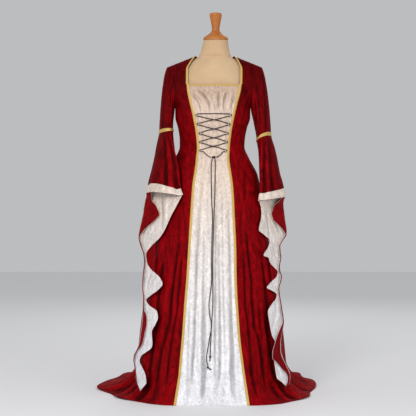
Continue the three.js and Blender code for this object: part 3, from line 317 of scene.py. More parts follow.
# Columns of a sleeve's ring, counted from its outer side: front, back and the flap beyond
RING = 16
RING_FINE = 6
RING_FRONT = 4
RING_BACK = 12
FLAP_COLUMNS = 3
FALL_COLUMNS = slice(RING_FRONT * RING_FINE, (RING_BACK + FLAP_COLUMNS) * RING_FINE + 1)
UPPER_FINE = 56
ELBOW_STEP = 0.08
BELL_STEP = 6
TRAIL_STEP = 4
ELBOW_BRAID_ROWS = 9
CUFF_ROWS = 17
LINING_ROWS = 7
CUFF_PUCKER = 0.7

# Lacing: rows of loops down the insert, by height and distance from the insert's middle
LACE = 3.8
LOOP_ROWS = table("z reach", (1153, 67), (1117, 61), (1080, 54), (1044, 51), (1008, 49))
LOOP_HALF_SPAN = 8.6
LOOP_HEIGHT = 6.2
LOOP_CORD = 2.2
LACE_TURN = 4.3
LACE_RISE = 2.6
LACE_OVER = 7.1
TURN_REACH = 7
TURN_DROP = 4.8
TURN_OUT = 1.3
TURN_CORNER_OUT = 0.95
TURN_CORNER_DROP = 0.7
KNOT_LEAD = 24
KNOT_LEAD_RISE = 7
KNOT_RISE = 4
KNOT = {"x": 6, "z": 979, "half": 10, "deep": 4.5, "tall": 5.5}

# Free ends of the lace below the knot: the middle of the lace and its height off the cloth
TAIL_ROWS = {
    "left": table(
        "z x rise",
        (974, 0, 4.5), (955, -3, 2.6), (907, -4, 2.6), (850, -3, 2.6), (800, -2, 2.6),
        (736, 1, 2.6), (659, -1, 2.6), (563, -3, 2.6), (477, -3, 2.6), (430, -8, 2.6),
        (387, -13, 2.6), (345, -10, 2.6), (305, -3, 2.6), (262, -10, 2.6), (220, -17, 2.6),
        (185, -23, 2.6), (165, -21.5, 3.2), (150, -18, 4.5),
    ),
    "right": table(
        "z x rise",
        (973.6, 11, 4.5), (955, 12.5, 2.6), (907, 12, 2.6), (850, 11, 2.6), (800, 9.5, 2.6),
        (736, 7, 2.6), (659, 4.5, 2.6), (563, 2.2, 2.6), (477, 2.2, 2.6), (430, 2.5, 2.6),
        (387, 2, 2.6), (345, -0.5, 4.6), (305, -4, 7.2), (262, -5, 5.2), (225, -7.5, 2.8),
        (190.6, -8.4, 4.5),
    ),
}
END_ROWS = {
    "left": {"x": -17.5, "z": 145, "aim_x": 0.82, "aim_z": -0.57},
    "right": {"x": -8.4, "z": 185.6, "aim_x": -0.1, "aim_z": -1},
}
END_KNOT_RADIUS = 4.4
END_LENGTH = 17
TAIL_STEP = 1.6
END_STEP = 0.8
END_SIDES = 24
LACING_STEP = 2
KNOT_TURNS = 2.6
KNOT_POINTS = 90
LOOP_POINTS = 33
LOOP_FOOT = 0.4

# Dress form: it keeps clear of the cloth's outside all round
FORM_CLEAR = 11
FORM_ROWS = table(
    "z half front back",
    (840, 158, 108, 114),
    (930, 160, 112, 118),
    (985, 143, 97, 101),
    (1030, 127, 85, 80),
    (1060, 128, 89, 79),
    (1105, 136, 101, 86),
    (1150, 149, 114, 95),
    (1190, 149, 109, 97),
)
FORM_SIDE = 40
FORM_STEP = 6
FORM_LEAST = 6
CAP_SIDES = 64
CAP_STEP = 1.6
SHOULDER_LEVELS = (1240, 1290, 1330, 1354, 1368, 1382, 1394)
NECK_ROWS = table(
    "z half front back",
    (1403, 70, 38, 38),
    (1412, 67, 45, 45),
    (1424, 61, 48, 48),
    (1440, 58, 50, 50),
    (1460, 54, 52, 52),
    (1479.7, 52, 52, 52),
)
NECK_DEPTH = 38
CAP_AXIS = 15.5

# The neck's top slants a little to the front: how far it sinks, tilts and where the bend starts
NECK_SINK = 3.5
NECK_TILT = 4.5
NECK_REACH = 52
NECK_BEND = (1430, 1479)
CAP_BEND = (1492, 1514)

# Camera, world and lights: places and sizes in metres, power in watts
CAMERA_PLACE = (-0.017, -4.8, 0.772)
CAMERA_LENS = 98.9
WORLD_STRENGTH = 0.52
LIGHTS = (
    ("key", (-1.3, -4.0, 2.7), 1.3, 92),
    ("fill", (2.6, -3.4, 1.8), 2.2, 30),
    ("back", (0.6, 3.4, 3.0), 2.0, 26),
)
LIGHTS_AIM = (0, 0, 0.8)


# Interpolation in the tables


def smooth(rows, key, column, at):
    """Cubic through a column of a table, with slopes that never overshoot a row."""
    ordered = sorted(rows, key=lambda row: row[key])
    place = np.array([row[key] for row in ordered], float)
    value = np.array([row[column] for row in ordered], float)
    rise = np.diff(value) / np.diff(place)
    slope = np.concatenate([rise[:1], np.zeros(len(place) - 2), rise[-1:]])
    before, after = rise[:-1], rise[1:]
    same = before * after > 0
    slope[1:-1] = np.where(same, 2 * before * after / np.where(same, before + after, 1), 0)
    low = np.clip(np.searchsorted(place, at, side="right") - 1, 0, len(place) - 2)
    span = place[low + 1] - place[low]
    t = np.clip((at - place[low]) / span, 0, 1)
    h = t * t * (3 - 2 * t)
    start = value[low] * (1 - h) + value[low + 1] * h
    bend = slope[low] * t * (1 - t) ** 2 - slope[low + 1] * t * t * (1 - t)
    return start + bend * span


def body(column, z):
    return smooth(BODY_ROWS, "z", column, z)


def insert(column, z):
    return smooth(INSERT_ROWS, "z", column, z)


def step_up(value, low, high):
    t = np.clip((value - low) / (high - low), 0, 1)
    return t * t * (3 - 2 * t)


def axis_at(z):
    above = AXIS_UNDERARM + (z - UNDERARM) * (AXIS_SHOULDER - AXIS_UNDERARM) / (SHOULDER - UNDERARM)
    return np.where(z <= UNDERARM, body("axis", z), above)


def sway_at(z):
    """How far the insert's middle lies to the right of the gown's axis."""
    return float(insert("axis", z) - axis_at(z))


def arc(share):
    """Height of a half circle at a share of its radius."""
    return np.sqrt(np.maximum(0, 1 - share * share))


def distances(line):
    """Distance of each point of a line from its first one, along the line."""
    return np.concatenate([[0], np.cumsum(np.linalg.norm(np.diff(line, axis=0), axis=1))])


# Shape of the torso above the underarm


def ridge(x):
    return SHOULDER - (x - NECK_HALF) * SHOULDER_SLOPE


def yoke_depth(x, z, full, spare=0):
    """Depth of the yoke at a distance from the axis; spare is taken off all round."""
    rise = z - UNDERARM
    wide = UNDERARM_HALF + (YOKE_HALF - UNDERARM_HALF) * step_up(rise, 0, YOKE_WIDENS) - spare
    climb = rise / (ridge(np.abs(x)) - spare - UNDERARM)
    dome = np.sqrt(np.maximum(0, 1 - np.maximum(0, climb) ** YOKE_ROUND))
    return (full - spare - rise * YOKE_LEAN) * arc(x / wide) * dome


def armhole_half(climb):
    return UNDERARM_HALF + (SHOULDER_HALF - UNDERARM_HALF) * climb**ARMHOLE_CURVE


# Skirt folds draw the cloth in from its outline; crest is 1 on a ridge and 0 in a valley


def skirt_crest(turn):
    phase = SKIRT_FOLDS * turn + 1.1 * np.sin(2 * turn + 0.6) + 0.8 * np.sin(5 * turn)
    return (1 + np.cos(phase)) / 2


def insert_crest(across):
    return (1 + np.cos(2 * np.pi * INSERT_FOLDS * across)) / 2


def fold_growth(z):
    return np.clip((FOLD_TOP - z) / (FOLD_TOP - SPREAD_TOP), 0, 1) ** FOLD_CURVE


def pull(crest, turn, edge_turn, z, depth):
    apart = np.abs(np.abs(turn) - edge_turn)
    uneven = 1 - FOLD_UNEVEN + FOLD_UNEVEN * np.sin(3 * turn + 1)
    return (1 - crest) * step_up(apart, *SEAM_CALM) * uneven * fold_growth(z) * depth


def skirt_point(turn, z, crest, edge_turn, depth):
    """A point of the gown's outside below the underarm, by its turn from the front."""
    deep = np.where(np.abs(turn) < np.pi / 2, body("front", z), body("back", z))
    drawn = pull(crest, turn, edge_turn, z, depth)
    x = axis_at(z) + (body("half", z) - drawn) * np.sin(turn)
    y = -(deep - drawn) * np.cos(turn)
    return np.stack([x, y, z + 0 * turn], axis=-1)


def spread_point(turn, step, crest, edge_turn, depth):
    """A point where the skirt turns out on to the floor: step goes from 0 to 1 at the hem."""
    top = skirt_point(turn, SPREAD_TOP, crest, edge_turn, depth)
    degrees = np.abs(np.degrees(turn))
    reach = np.where(
        turn < 0,
        smooth(HEM_ROWS, "turn", "left", degrees),
        smooth(HEM_ROWS, "turn", "right", degrees),
    )
    spread = smooth(HEM_ROWS, "turn", "spread", degrees)
    trim = 1 - HEM_SCALLOP * spread * (1 - crest)
    end_y = smooth(HEM_ROWS, "turn", "y", degrees) * trim
    end = np.stack([np.sign(turn) * reach * trim, end_y, VELVET * spread], axis=-1)
    part = (KNEE_HANGING + (KNEE_POOLED - KNEE_HANGING) * spread)[..., None]
    knee = top * (1 - part) + end * part
    knee[..., 2] = SPREAD_TOP / 2 + (VELVET - SPREAD_TOP / 2) * spread
    rest = 1 - step
    point = top * rest * rest + knee * 2 * step * rest + end * step * step
    arch = np.sin(np.pi * min(1, POOL_START + POOL_RUN * step))
    point[..., 2] += spread * crest * POOL_RIDGE * arch
    return point


def wrap(turn):
    return np.where(turn > np.pi, turn - 2 * np.pi, turn)


def edge_places(z):
    """The insert's two edges at a height, from the gown's axis."""
    half = float(insert("half", z))
    return sway_at(z) - half, sway_at(z) + half


def skirt_row(z, step):
    """A ring of points: the side seam, left front, insert, right front and back, as four lists."""
    half = float(body("half", z))
    left, right = edge_places(z)
    turns = [math.asin(x / half) for x in (left, left + BRAID_HALF, right - BRAID_HALF, right)]
    edge_turn = turns[3]
    outer_left = math.asin((left - BRAID_HALF) / half)
    outer_right = math.asin((right + BRAID_HALF) / half)
    parts = {
        "front_left": [(-math.pi / 2, outer_left, SIDE_FINE), (outer_left, turns[0], BRAID_FINE)],
        "insert": [
            (turns[0], turns[1], BRAID_FINE),
            (turns[1], turns[2], INSERT_FINE),
            (turns[2], turns[3], BRAID_FINE),
        ],
        "front_right": [(turns[3], outer_right, BRAID_FINE), (outer_right, math.pi / 2, SIDE_FINE)],
        "back": [(math.pi / 2, 3 * math.pi / 2, BACK_FINE)],
    }
    row = {}
    for name, spans in parts.items():
        turn, crest = [], []
        for start, end, count in spans:
            across = np.linspace(0, 1, count + 1)
            span_turn = start + (end - start) * across
            if count == BRAID_FINE:
                span_crest = np.ones(count + 1)
            elif name == "insert":
                span_crest = insert_crest(across)
            else:
                span_crest = skirt_crest(span_turn)
            keep = slice(0, None) if not turn else slice(1, None)
            turn.extend(span_turn[keep])
            crest.extend(span_crest[keep])
        turn = wrap(np.array(turn))
        depth = INSERT_FOLD_DEPTH if name == "insert" else SKIRT_FOLD_DEPTH
        if step == 0:
            row[name] = skirt_point(turn, z, np.array(crest), edge_turn, depth)
        else:
            row[name] = spread_point(turn, step, np.array(crest), edge_turn, depth)
    return row


# Cloth panels as grids of points


def skirt_rows():
    count = round((UNDERARM - SPREAD_TOP) / SKIRT_STEP)
    rows = [skirt_row(z, 0) for z in np.linspace(UNDERARM, SPREAD_TOP, count + 1)]
    rows += [skirt_row(SPREAD_TOP, (i + 1) / SPREAD_ROWS) for i in range(SPREAD_ROWS)]
    return rows


SKIRT = skirt_rows()


def yoke_level(index):
    return float(np.interp(index, range(YOKE_LAST + 1), YOKE_LEVELS))


def yoke_indices(first=0):
    return [first + i / YOKE_FINE for i in range((YOKE_LAST - first) * YOKE_FINE)]


def climb_of(level):
    return (level - UNDERARM) / (ridge(float(insert("half", level))) - UNDERARM)


def yoke_points(offset, climb, top, full, face):
    z = UNDERARM + (top - UNDERARM) * climb
    return np.stack([axis_at(z) + offset, face * yoke_depth(offset, z, full), z], axis=-1)


def front_yoke_row(side, index):
    """From the neckline or the insert's seam out to the armhole."""
    level = yoke_level(index)
    climb = climb_of(level)
    edge = float(insert("half", level)) + side * sway_at(level)
    outer = armhole_half(climb)
    near = np.linspace(edge, edge + BRAID_HALF, BRAID_FINE + 1)
    far = np.linspace(edge + BRAID_HALF, outer, SIDE_FINE + 1)[1:]
    offset = side * np.concatenate([near, far])
    return yoke_points(offset, climb, ridge(np.abs(offset)), float(body("front", UNDERARM)), -1)


def insert_yoke_row(index):
    level = yoke_level(index)
    half = float(insert("half", level))
    reach = half - BRAID_HALF
    across = np.concatenate([
        np.linspace(-half, -reach, BRAID_FINE + 1),
        np.linspace(-reach, reach, INSERT_FINE + 1)[1:],
        np.linspace(reach, half, BRAID_FINE + 1)[1:],
    ])
    offset = sway_at(level) + across
    y = -yoke_depth(offset, level, float(body("front", UNDERARM)))
    return np.stack([axis_at(level) + offset, y, level + 0 * offset], axis=-1)


def back_top(offset):
    reach = np.abs(offset)
    dip = SHOULDER - BACK_NECK_DROP * (1 - np.minimum(1, reach / NECK_HALF) ** 2)
    return np.where(reach >= NECK_HALF, ridge(reach), dip)


def back_yoke_row(index):
    """From the right armhole across the back to the left one."""
    climb = climb_of(yoke_level(index))
    outer = armhole_half(climb)
    across = np.linspace(0, 1, BACK_FINE + 1)
    near = np.minimum(across, 1 - across)
    seam = outer + (NECK_HALF - outer) * near / SEAM_PART
    neck = NECK_HALF * (1 - (near - SEAM_PART) / (0.5 - SEAM_PART))
    reach = np.where(near < SEAM_PART, seam, neck)
    offset = np.where(across < 0.5, reach, -reach)
    points = yoke_points(offset, climb, back_top(offset), float(body("back", UNDERARM)), 1)
    if index == 0:
        points[near < SEAM_PART, 1] = 0
    return points


def panel(name):
    """All rows of a panel of the gown's body, top to hem, left to right or round the back."""
    lower = [row[name] for row in SKIRT]
    if name == "insert":
        upper = [insert_yoke_row(i) for i in yoke_indices(INSERT_FIRST)]
    elif name == "back":
        upper = [back_yoke_row(i) for i in yoke_indices()]
    else:
        side = -1 if name == "front_left" else 1
        upper = [front_yoke_row(side, i)[::side] for i in yoke_indices()]
    return np.array(upper + lower)


# Sleeves


def rest_y(reach, z):
    """Front of the hanging cloth where a sleeve lies on the skirt, at a distance from the axis."""
    level = np.maximum(z, SPREAD_TOP)
    deep = body("front", level)
    along = reach / body("half", level)
    low = np.maximum(0, SPREAD_TOP - z) * TRAIL_SPREAD
    start = math.sqrt(1 - TRAIL_TURNS * TRAIL_TURNS)
    curved = -deep * arc(along) - low
    straight = -deep * (start - (TRAIL_TURNS / start) * (along - TRAIL_TURNS)) - low
    return np.where(along <= TRAIL_TURNS, curved, straight)


def bell_ring(side, row, column):
    """Points of a sleeve's ring: column 0 is the outer side, a quarter on is the front."""
    angle = 2 * np.pi * (column - RING / 4) / RING
    inner = np.array([row["inner"], row["innerY"]], float)
    outer = np.array([row["outer"], row["outerY"]], float)
    along = ((1 - np.cos(angle)) / 2)[:, None]
    place = inner * (1 - along) + outer * along
    across = (outer - inner) / np.linalg.norm(outer - inner)
    wave = np.sin(angle)
    bulge = np.where(wave > 0, -row["ease"] * wave, -row["swell"] * wave)
    place = place + np.array([across[1], -across[0]]) * bulge[:, None]
    turn = 2 * np.pi * column / RING
    lift = row["tilt"] * np.cos(turn) - row["slant"] * np.sin(turn) + row["bow"] * np.cos(2 * turn)
    return np.stack([side * place[:, 0], place[:, 1], row["z"] + lift], axis=-1)


def bell_row_at(rows, z):
    return {key: z if key == "z" else float(smooth(rows, "z", key, z)) for key in rows[0]}


def trail_line(side, row, column, widest=1000):
    """Points of the trailing end, from its free edge over the outer fold to the flap's edge."""
    along = (column - RING_FRONT) / (RING_BACK - 1 - RING_FRONT)
    turned = min(FOLD_REACH, (row["fold"] - row["free"]) / 2)
    edge = min(row["free"], widest)
    near = edge + (row["fold"] - turned - edge) * np.minimum(along, 1)
    beyond = np.clip(column - (RING_BACK - 1), 0, 1)
    near = near + turned * beyond
    turn_in = FOLD_TURN * beyond
    part = np.clip((column - RING_BACK) / FLAP_COLUMNS, 0, 1)
    over = row["fold"] + (row["flap"] - row["fold"]) * (part * part * (1 - FLAP_EASE) + part * FLAP_EASE)
    on_flap = column > RING_BACK
    reach = np.where(on_flap, over, near)
    jump = np.clip(column - RING_BACK, 0, 1)
    gap = FLAP_GAP * (FLAP_START + (1 - FLAP_START) * part)
    rise = FOLD_TURN + (gap - FOLD_TURN) * np.sin(np.pi / 2 * jump)
    away = np.where(on_flap, rise, turn_in)
    y = rest_y(reach, row["z"]) - TRAIL_CLEAR - away
    return np.stack([side * reach, y, row["z"] + 0 * reach], axis=-1)


def armhole_point(side, column):
    """The armhole's edge: front from the shoulder to the underarm, then up the back."""
    index = min(column, RING - column)
    if index == YOKE_LAST:
        return SKIRT[0]["front_left" if side < 0 else "front_right"][0 if side < 0 else -1]
    if column <= YOKE_LAST or index == 0:
        return front_yoke_row(side, index)[-1]
    return back_yoke_row(index)[0 if side > 0 else -1]


def sleeve(name):
    """Grids of the upper sleeve, the bell and its trailing end, all in the same columns."""
    side = -1 if name == "left" else 1
    shift = np.array([side * SLEEVE_GAP, 0, 0])
    column = np.arange(RING * RING_FINE + 1) / RING_FINE
    rows = BELL_ROWS[name]
    start = np.array([armhole_point(side, c) for c in column])
    elbow = bell_ring(side, rows[0], column)
    outward = ((1 + np.cos(2 * np.pi * column / RING)) / 2)[:, None]
    leave = start + outward * np.array([side * LEAVE_OUT, 0, LEAVE_UP])
    leave = leave + np.array([side * LEAVE_APART, 0, -LEAVE_DOWN])
    arrive = elbow + outward * np.array([0, 0, ARRIVE_UP_OUTSIDE]) + np.array([0, 0, ARRIVE_UP])
    upper = []
    for t in np.linspace(0, 1, UPPER_FINE + 1):
        s = 1 - t
        upper.append(start * s**3 + leave * 3 * s * s * t + arrive * 3 * s * t * t + elbow * t**3)
    top, low = rows[0]["z"], rows[-1]["z"]
    heights = np.linspace(top, low, round((top - low) / BELL_STEP) + 1)
    bell = [bell_ring(side, bell_row_at(rows, z), column) for z in heights]
    trail_rows = TRAIL_ROWS[name]
    used = column[FALL_COLUMNS]
    first, last = trail_rows[0]["z"], trail_rows[-1]["z"]
    begin = trail_line(side, trail_rows[0], used)
    lead = round((low - first) / TRAIL_STEP)
    end = bell[-1][FALL_COLUMNS]
    lined = [end * (1 - i / lead) + begin * (i / lead) for i in range(lead + 1)]
    red = list(lined)
    for z in np.linspace(first, last, round((first - last) / TRAIL_STEP) + 1)[1:]:
        row = {key: float(smooth(trail_rows, "z", key, z)) for key in ("fold", "flap", "free")}
        row["z"] = z
        lined.append(trail_line(side, row, used))
        widest = float(np.interp(z, RED_EDGE_LEVELS, RED_EDGE[name]))
        red.append(trail_line(side, row, used, widest))
    return [np.array(grid) + shift for grid in (upper, bell, lined, red)]


# Lace


def front_at(x, z, rise):
    """A point above the insert's outside, at a place across and up the front."""

    def surface(u, v):
        along = (u - axis_at(v)) / body("half", v)
        return -body("front", v) * np.sqrt(1 - along * along)

    slope_x = (surface(x + 1, z) - surface(x - 1, z)) / 2
    slope_z = (surface(x, z + 1) - surface(x, z - 1)) / 2
    out = np.array([float(slope_x), -1, float(slope_z)])
    out /= np.linalg.norm(out)
    return np.array([x, float(surface(x, z)), z]) + out * rise


def curve_through(route, gap):
    """Points about gap apart on a smooth curve through a route."""
    route = np.array(route, float)
    ends = [2 * route[0] - route[1], 2 * route[-1] - route[-2]]
    full = np.vstack([ends[0], route, ends[1]])
    knots = np.concatenate([[0], np.cumsum(np.sqrt(np.linalg.norm(np.diff(full, axis=0), axis=1)))])
    line = []
    for i in range(1, len(full) - 2):
        p0, p1, p2, p3 = full[i - 1 : i + 3]
        t0, t1, t2, t3 = knots[i - 1 : i + 3]
        count = max(2, math.ceil(np.linalg.norm(p2 - p1) / gap))
        for t in np.linspace(t1, t2, count, endpoint=False):
            a1 = p0 * (t1 - t) / (t1 - t0) + p1 * (t - t0) / (t1 - t0)
            a2 = p1 * (t2 - t) / (t2 - t1) + p2 * (t - t1) / (t2 - t1)
            a3 = p2 * (t3 - t) / (t3 - t2) + p3 * (t - t2) / (t3 - t2)
            b1 = a1 * (t2 - t) / (t2 - t0) + a2 * (t - t0) / (t2 - t0)
            b2 = a2 * (t3 - t) / (t3 - t1) + a3 * (t - t1) / (t3 - t1)
            line.append(b1 * (t2 - t) / (t2 - t1) + b2 * (t - t1) / (t2 - t1))
    line.append(route[-1])
    return np.array(line)


def mesh_object(name, points, quads, uv=None, painted_shading=None):
    mesh = bpy.data.meshes.new(name)
    mesh.from_pydata((np.asarray(points) * MM).tolist(), [], [tuple(map(int, q)) for q in quads])
    if uv is not None:
        layer = mesh.uv_layers.new(name="weave")
        loops = np.zeros(len(mesh.loops), np.int32)
        mesh.loops.foreach_get("vertex_index", loops)
        layer.data.foreach_set("uv", np.asarray(uv, np.float32)[loops].ravel())
    # A value per point for the painted shade and highlight of the cloth.
    if painted_shading is not None:
        layer = mesh.attributes.new("painted_shading", "FLOAT", "POINT")
        layer.data.foreach_set("value", np.asarray(painted_shading, np.float32).ravel())
    mesh.validate()
    mesh.update()
    obj = bpy.data.objects.new(name, mesh)
    bpy.context.scene.collection.objects.link(obj)
    for face in mesh.polygons:
        face.use_smooth = True
    return obj


def round_quads(rings, sides):
    """Faces of a closed tube of rings, with a flat end at each side."""
    quads = []
    for i in range(rings - 1):
        for j in range(sides):
            k = (j + 1) % sides
            quads.append((i * sides + j, i * sides + k, (i + 1) * sides + k, (i + 1) * sides + j))
    quads.append(tuple(range(sides - 1, -1, -1)))
    last = (rings - 1) * sides
    quads.append(tuple(last + j for j in range(sides)))
    return quads


def braided_tube(name, line, diameter=LACE, sides=12, pitch=9.0, relief=0.07):
    """A cord along a line, with the ridges of its braid raised in its surface."""
    along = distances(line)
    tangent = np.gradient(line, axis=0)
    tangent /= np.linalg.norm(tangent, axis=1)[:, None]
    out = np.array([0.0, -1.0, 0.0])
    points, uv = [], []
    for place, aim, far in zip(line, tangent, along):
        out = out - aim * (out @ aim)
        out /= np.linalg.norm(out)
        side = np.cross(aim, out)
        turn = 2 * np.pi * np.arange(sides) / sides
        wave = np.cos(3 * turn + 2 * np.pi * far / pitch) * np.cos(3 * turn - 2 * np.pi * far / pitch)
        radius = diameter / 2 * (1 - relief + relief * wave)
        for angle, reach in zip(turn, radius):
            points.append(place + reach * (math.cos(angle) * out + math.sin(angle) * side))
            uv.append((angle / (2 * np.pi), far * MM))
    return mesh_object(name, points, round_quads(len(line), sides), uv)


def loop_x(side, row):
    return float(insert("axis", row["z"])) + side * row["reach"]


def turn_route(side, row, climb):
    """The lace turns round behind a loop, going up for 1 and down for -1."""
    x, z = loop_x(side, row), row["z"]
    out = side * LACE_TURN
    corner = climb * LACE_TURN
    return [
        front_at(x - side * TURN_REACH, z - climb * TURN_DROP, LACE_RISE),
        front_at(x, z - corner, LACE_RISE),
        front_at(x + out * TURN_CORNER_OUT, z - corner * TURN_CORNER_DROP, LACE_RISE),
        front_at(x + out * TURN_OUT, z, LACE_RISE),
        front_at(x + out * TURN_CORNER_OUT, z + corner * TURN_CORNER_DROP, LACE_RISE),
        front_at(x, z + corner, LACE_RISE),
        front_at(x - side * TURN_REACH, z + climb * TURN_DROP, LACE_RISE),
    ]


def strand_route(side, start, end, over):
    """Middle part of a strand between two loops; it passes over or under the other strand."""
    climb = math.copysign(1, end["z"] - start["z"])
    from_x, to_x = loop_x(side, start), loop_x(-side, end)
    from_z, to_z = start["z"] + climb * TURN_DROP, end["z"] - climb * TURN_DROP
    top = LACE_OVER if over else LACE_RISE
    near = LACE_OVER - 1 if over else LACE_RISE
    humps = ((0.25, LACE_RISE), (0.42, near), (0.5, top), (0.58, near), (0.75, LACE_RISE))
    return [
        front_at(from_x + (to_x - from_x) * part, from_z + (to_z - from_z) * part, rise)
        for part, rise in humps
    ]


def lacing_route():
    last = len(LOOP_ROWS) - 1
    route = [
        front_at(KNOT["x"] - KNOT["half"] - 1, KNOT["z"], KNOT_RISE),
        front_at(KNOT["x"] - KNOT_LEAD, KNOT["z"] + KNOT_LEAD_RISE, LACE_RISE),
    ]
    side = -1
    for i in range(last, 0, -1):
        route += turn_route(side, LOOP_ROWS[i], 1)
        route += strand_route(side, LOOP_ROWS[i], LOOP_ROWS[i - 1], i % 2 == 0)
        side = -side
    route += turn_route(side, LOOP_ROWS[0], 1)
    bar = LOOP_ROWS[0]["z"] + TURN_DROP
    start, end = loop_x(side, LOOP_ROWS[0]), loop_x(-side, LOOP_ROWS[0])
    route += [front_at(start + (end - start) * part, bar, LACE_RISE) for part in (0.25, 0.5, 0.75)]
    side = -side
    route += turn_route(side, LOOP_ROWS[0], -1)
    for i in range(1, last + 1):
        route += strand_route(side, LOOP_ROWS[i - 1], LOOP_ROWS[i], i % 2 == 1)
        side = -side
        route += turn_route(side, LOOP_ROWS[i], -1)
    route += [
        front_at(KNOT["x"] + KNOT_LEAD, KNOT["z"] + KNOT_LEAD_RISE, LACE_RISE),
        front_at(KNOT["x"] + KNOT["half"] + 1, KNOT["z"], KNOT_RISE),
    ]
    return route


# Materials


class Shader:
    """A principled material and short ways to add the nodes that feed it."""

    def __init__(self, name, **sockets):
        self.material = bpy.data.materials.new(name)
        self.material.use_nodes = True
        self.nodes = self.material.node_tree.nodes
        self.main = self.nodes["Principled BSDF"]
        for socket, value in sockets.items():
            self.main.inputs[socket.replace("_", " ")].default_value = value
        self.coordinates = self.nodes.new("ShaderNodeTexCoord")

    def feed(self, target, source):
        """Links an output to an input, or sets the input's own value."""
        if isinstance(source, bpy.types.NodeSocket):
            self.material.node_tree.links.new(source, target)
        elif isinstance(source, tuple) and target.type == "RGBA":
            target.default_value = (*source, 1)
        else:
            target.default_value = source

    def add(self, kind, **inputs):
        node = self.nodes.new(f"ShaderNode{kind}")
        for name, source in inputs.items():
            self.feed(node.inputs[name], source)
        return node

    def place(self, scale=(1, 1, 1), turn=(0, 0, 0), source="Object"):
        vector = self.coordinates.outputs[source]
        return self.add("Mapping", Scale=scale, Rotation=turn, Vector=vector).outputs["Vector"]

    def noise(self, vector, scale, detail=3, roughness=0.55, distortion=0.0):
        inputs = {"Scale": scale, "Detail": detail, "Roughness": roughness, "Distortion": distortion}
        return self.add("TexNoise", Vector=vector, **inputs).outputs["Fac"]

    def waves(self, vector, scale, distortion=0.0, direction="X"):
        node = self.add("TexWave", Vector=vector, Scale=scale, Distortion=distortion)
        node.bands_direction = direction
        return node.outputs["Fac"]

    def ramp(self, factor, *stops):
        node = self.add("ValToRGB", Fac=factor)
        ramp = node.color_ramp
        while len(ramp.elements) < len(stops):
            ramp.elements.new(0.5)
        for element, (place, color) in zip(ramp.elements, stops):
            element.position = place
            grey = isinstance(color, (int, float))
            element.color = (color, color, color, 1) if grey else (*color, 1)
        return node.outputs["Color"]

    def mix(self, factor, a, b, blend="MIX"):
        node = self.nodes.new("ShaderNodeMix")
        node.data_type = "RGBA"
        node.blend_type = blend
        for index, source in ((0, factor), (6, a), (7, b)):
            self.feed(node.inputs[index], source)
        return node.outputs[2]

    def shade(self, color, *tones):
        """A colour made darker or lighter by one tone after another."""
        for tone in tones:
            color = self.mix(1.0, color, tone, "MULTIPLY")
        return color

    def math(self, operation, a, b=0.5):
        node = self.nodes.new("ShaderNodeMath")
        node.operation = operation
        self.feed(node.inputs[0], a)
        self.feed(node.inputs[1], b)
        return node.outputs[0]

    def halved(self, value):
        """Brings a value between -1 and 1 to one between 0 and 1."""
        return self.math("ADD", self.math("MULTIPLY", value, 0.5), 0.5)

    def parts(self, vector):
        return self.add("SeparateXYZ", Vector=vector).outputs

    def bump(self, height, distance, strength=1.0, below=None):
        node = self.add("Bump", Height=height, Distance=distance, Strength=strength)
        if below is not None:
            self.feed(node.inputs["Normal"], below)
        return node.outputs["Normal"]

    def finish(self, color=None, roughness=None, normal=None):
        for source, target in ((color, "Base Color"), (roughness, "Roughness"), (normal, "Normal")):
            if source is not None:
                self.feed(self.main.inputs[target], source)
        return self.material


def painted_shading_tone(shader, low, high):
    """Painted shade in the valleys of the cloth and painted highlight on its ridges."""
    node = shader.nodes.new("ShaderNodeAttribute")
    node.attribute_name = "painted_shading"
    return shader.ramp(shader.halved(node.outputs["Fac"]), (0.0, low), (0.5, 1.0), (1.0, high))


def crushed(shader):
    """The two patterns of crushed pile: broad patches where the pile is turned and fine streaks in them.
    """
    broad = shader.noise(shader.place((1, 1, 0.42)), 26, 4, 0.62, 1.6)
    fine = shader.noise(shader.place((1, 1, 0.55), (0.1, 0.25, 0)), 95, 3, 0.6, 1.1)
    return broad, fine


def red_velvet():
    shader = Shader(
        "red_crushed_velvet",
        Roughness=0.7,
        Specular_IOR_Level=0.04,
        Sheen_Weight=0.16,
        Sheen_Roughness=0.3,
        Sheen_Tint=(1, 0.02, 0.03, 1),
    )
    broad, fine = crushed(shader)
    dark = shader.ramp(broad, (0.33, (0.125, 0.0, 0.0012)), (0.68, (0.33, 0.0008, 0.004)))
    streaks = shader.ramp(fine, (0.36, 0.74), (0.66, 1.12))
    # The last tone is painted shade in the cloth's valleys and painted highlight on its ridges.
    color = shader.shade(dark, streaks, painted_shading_tone(shader, 0.3, 1.22))
    lifted = shader.bump(broad, 0.0016, 0.55)
    normal = shader.bump(fine, 0.0007, 0.7, lifted)
    rough = shader.ramp(fine, (0.3, 0.62), (0.7, 0.78))
    return shader.finish(color, rough, normal)


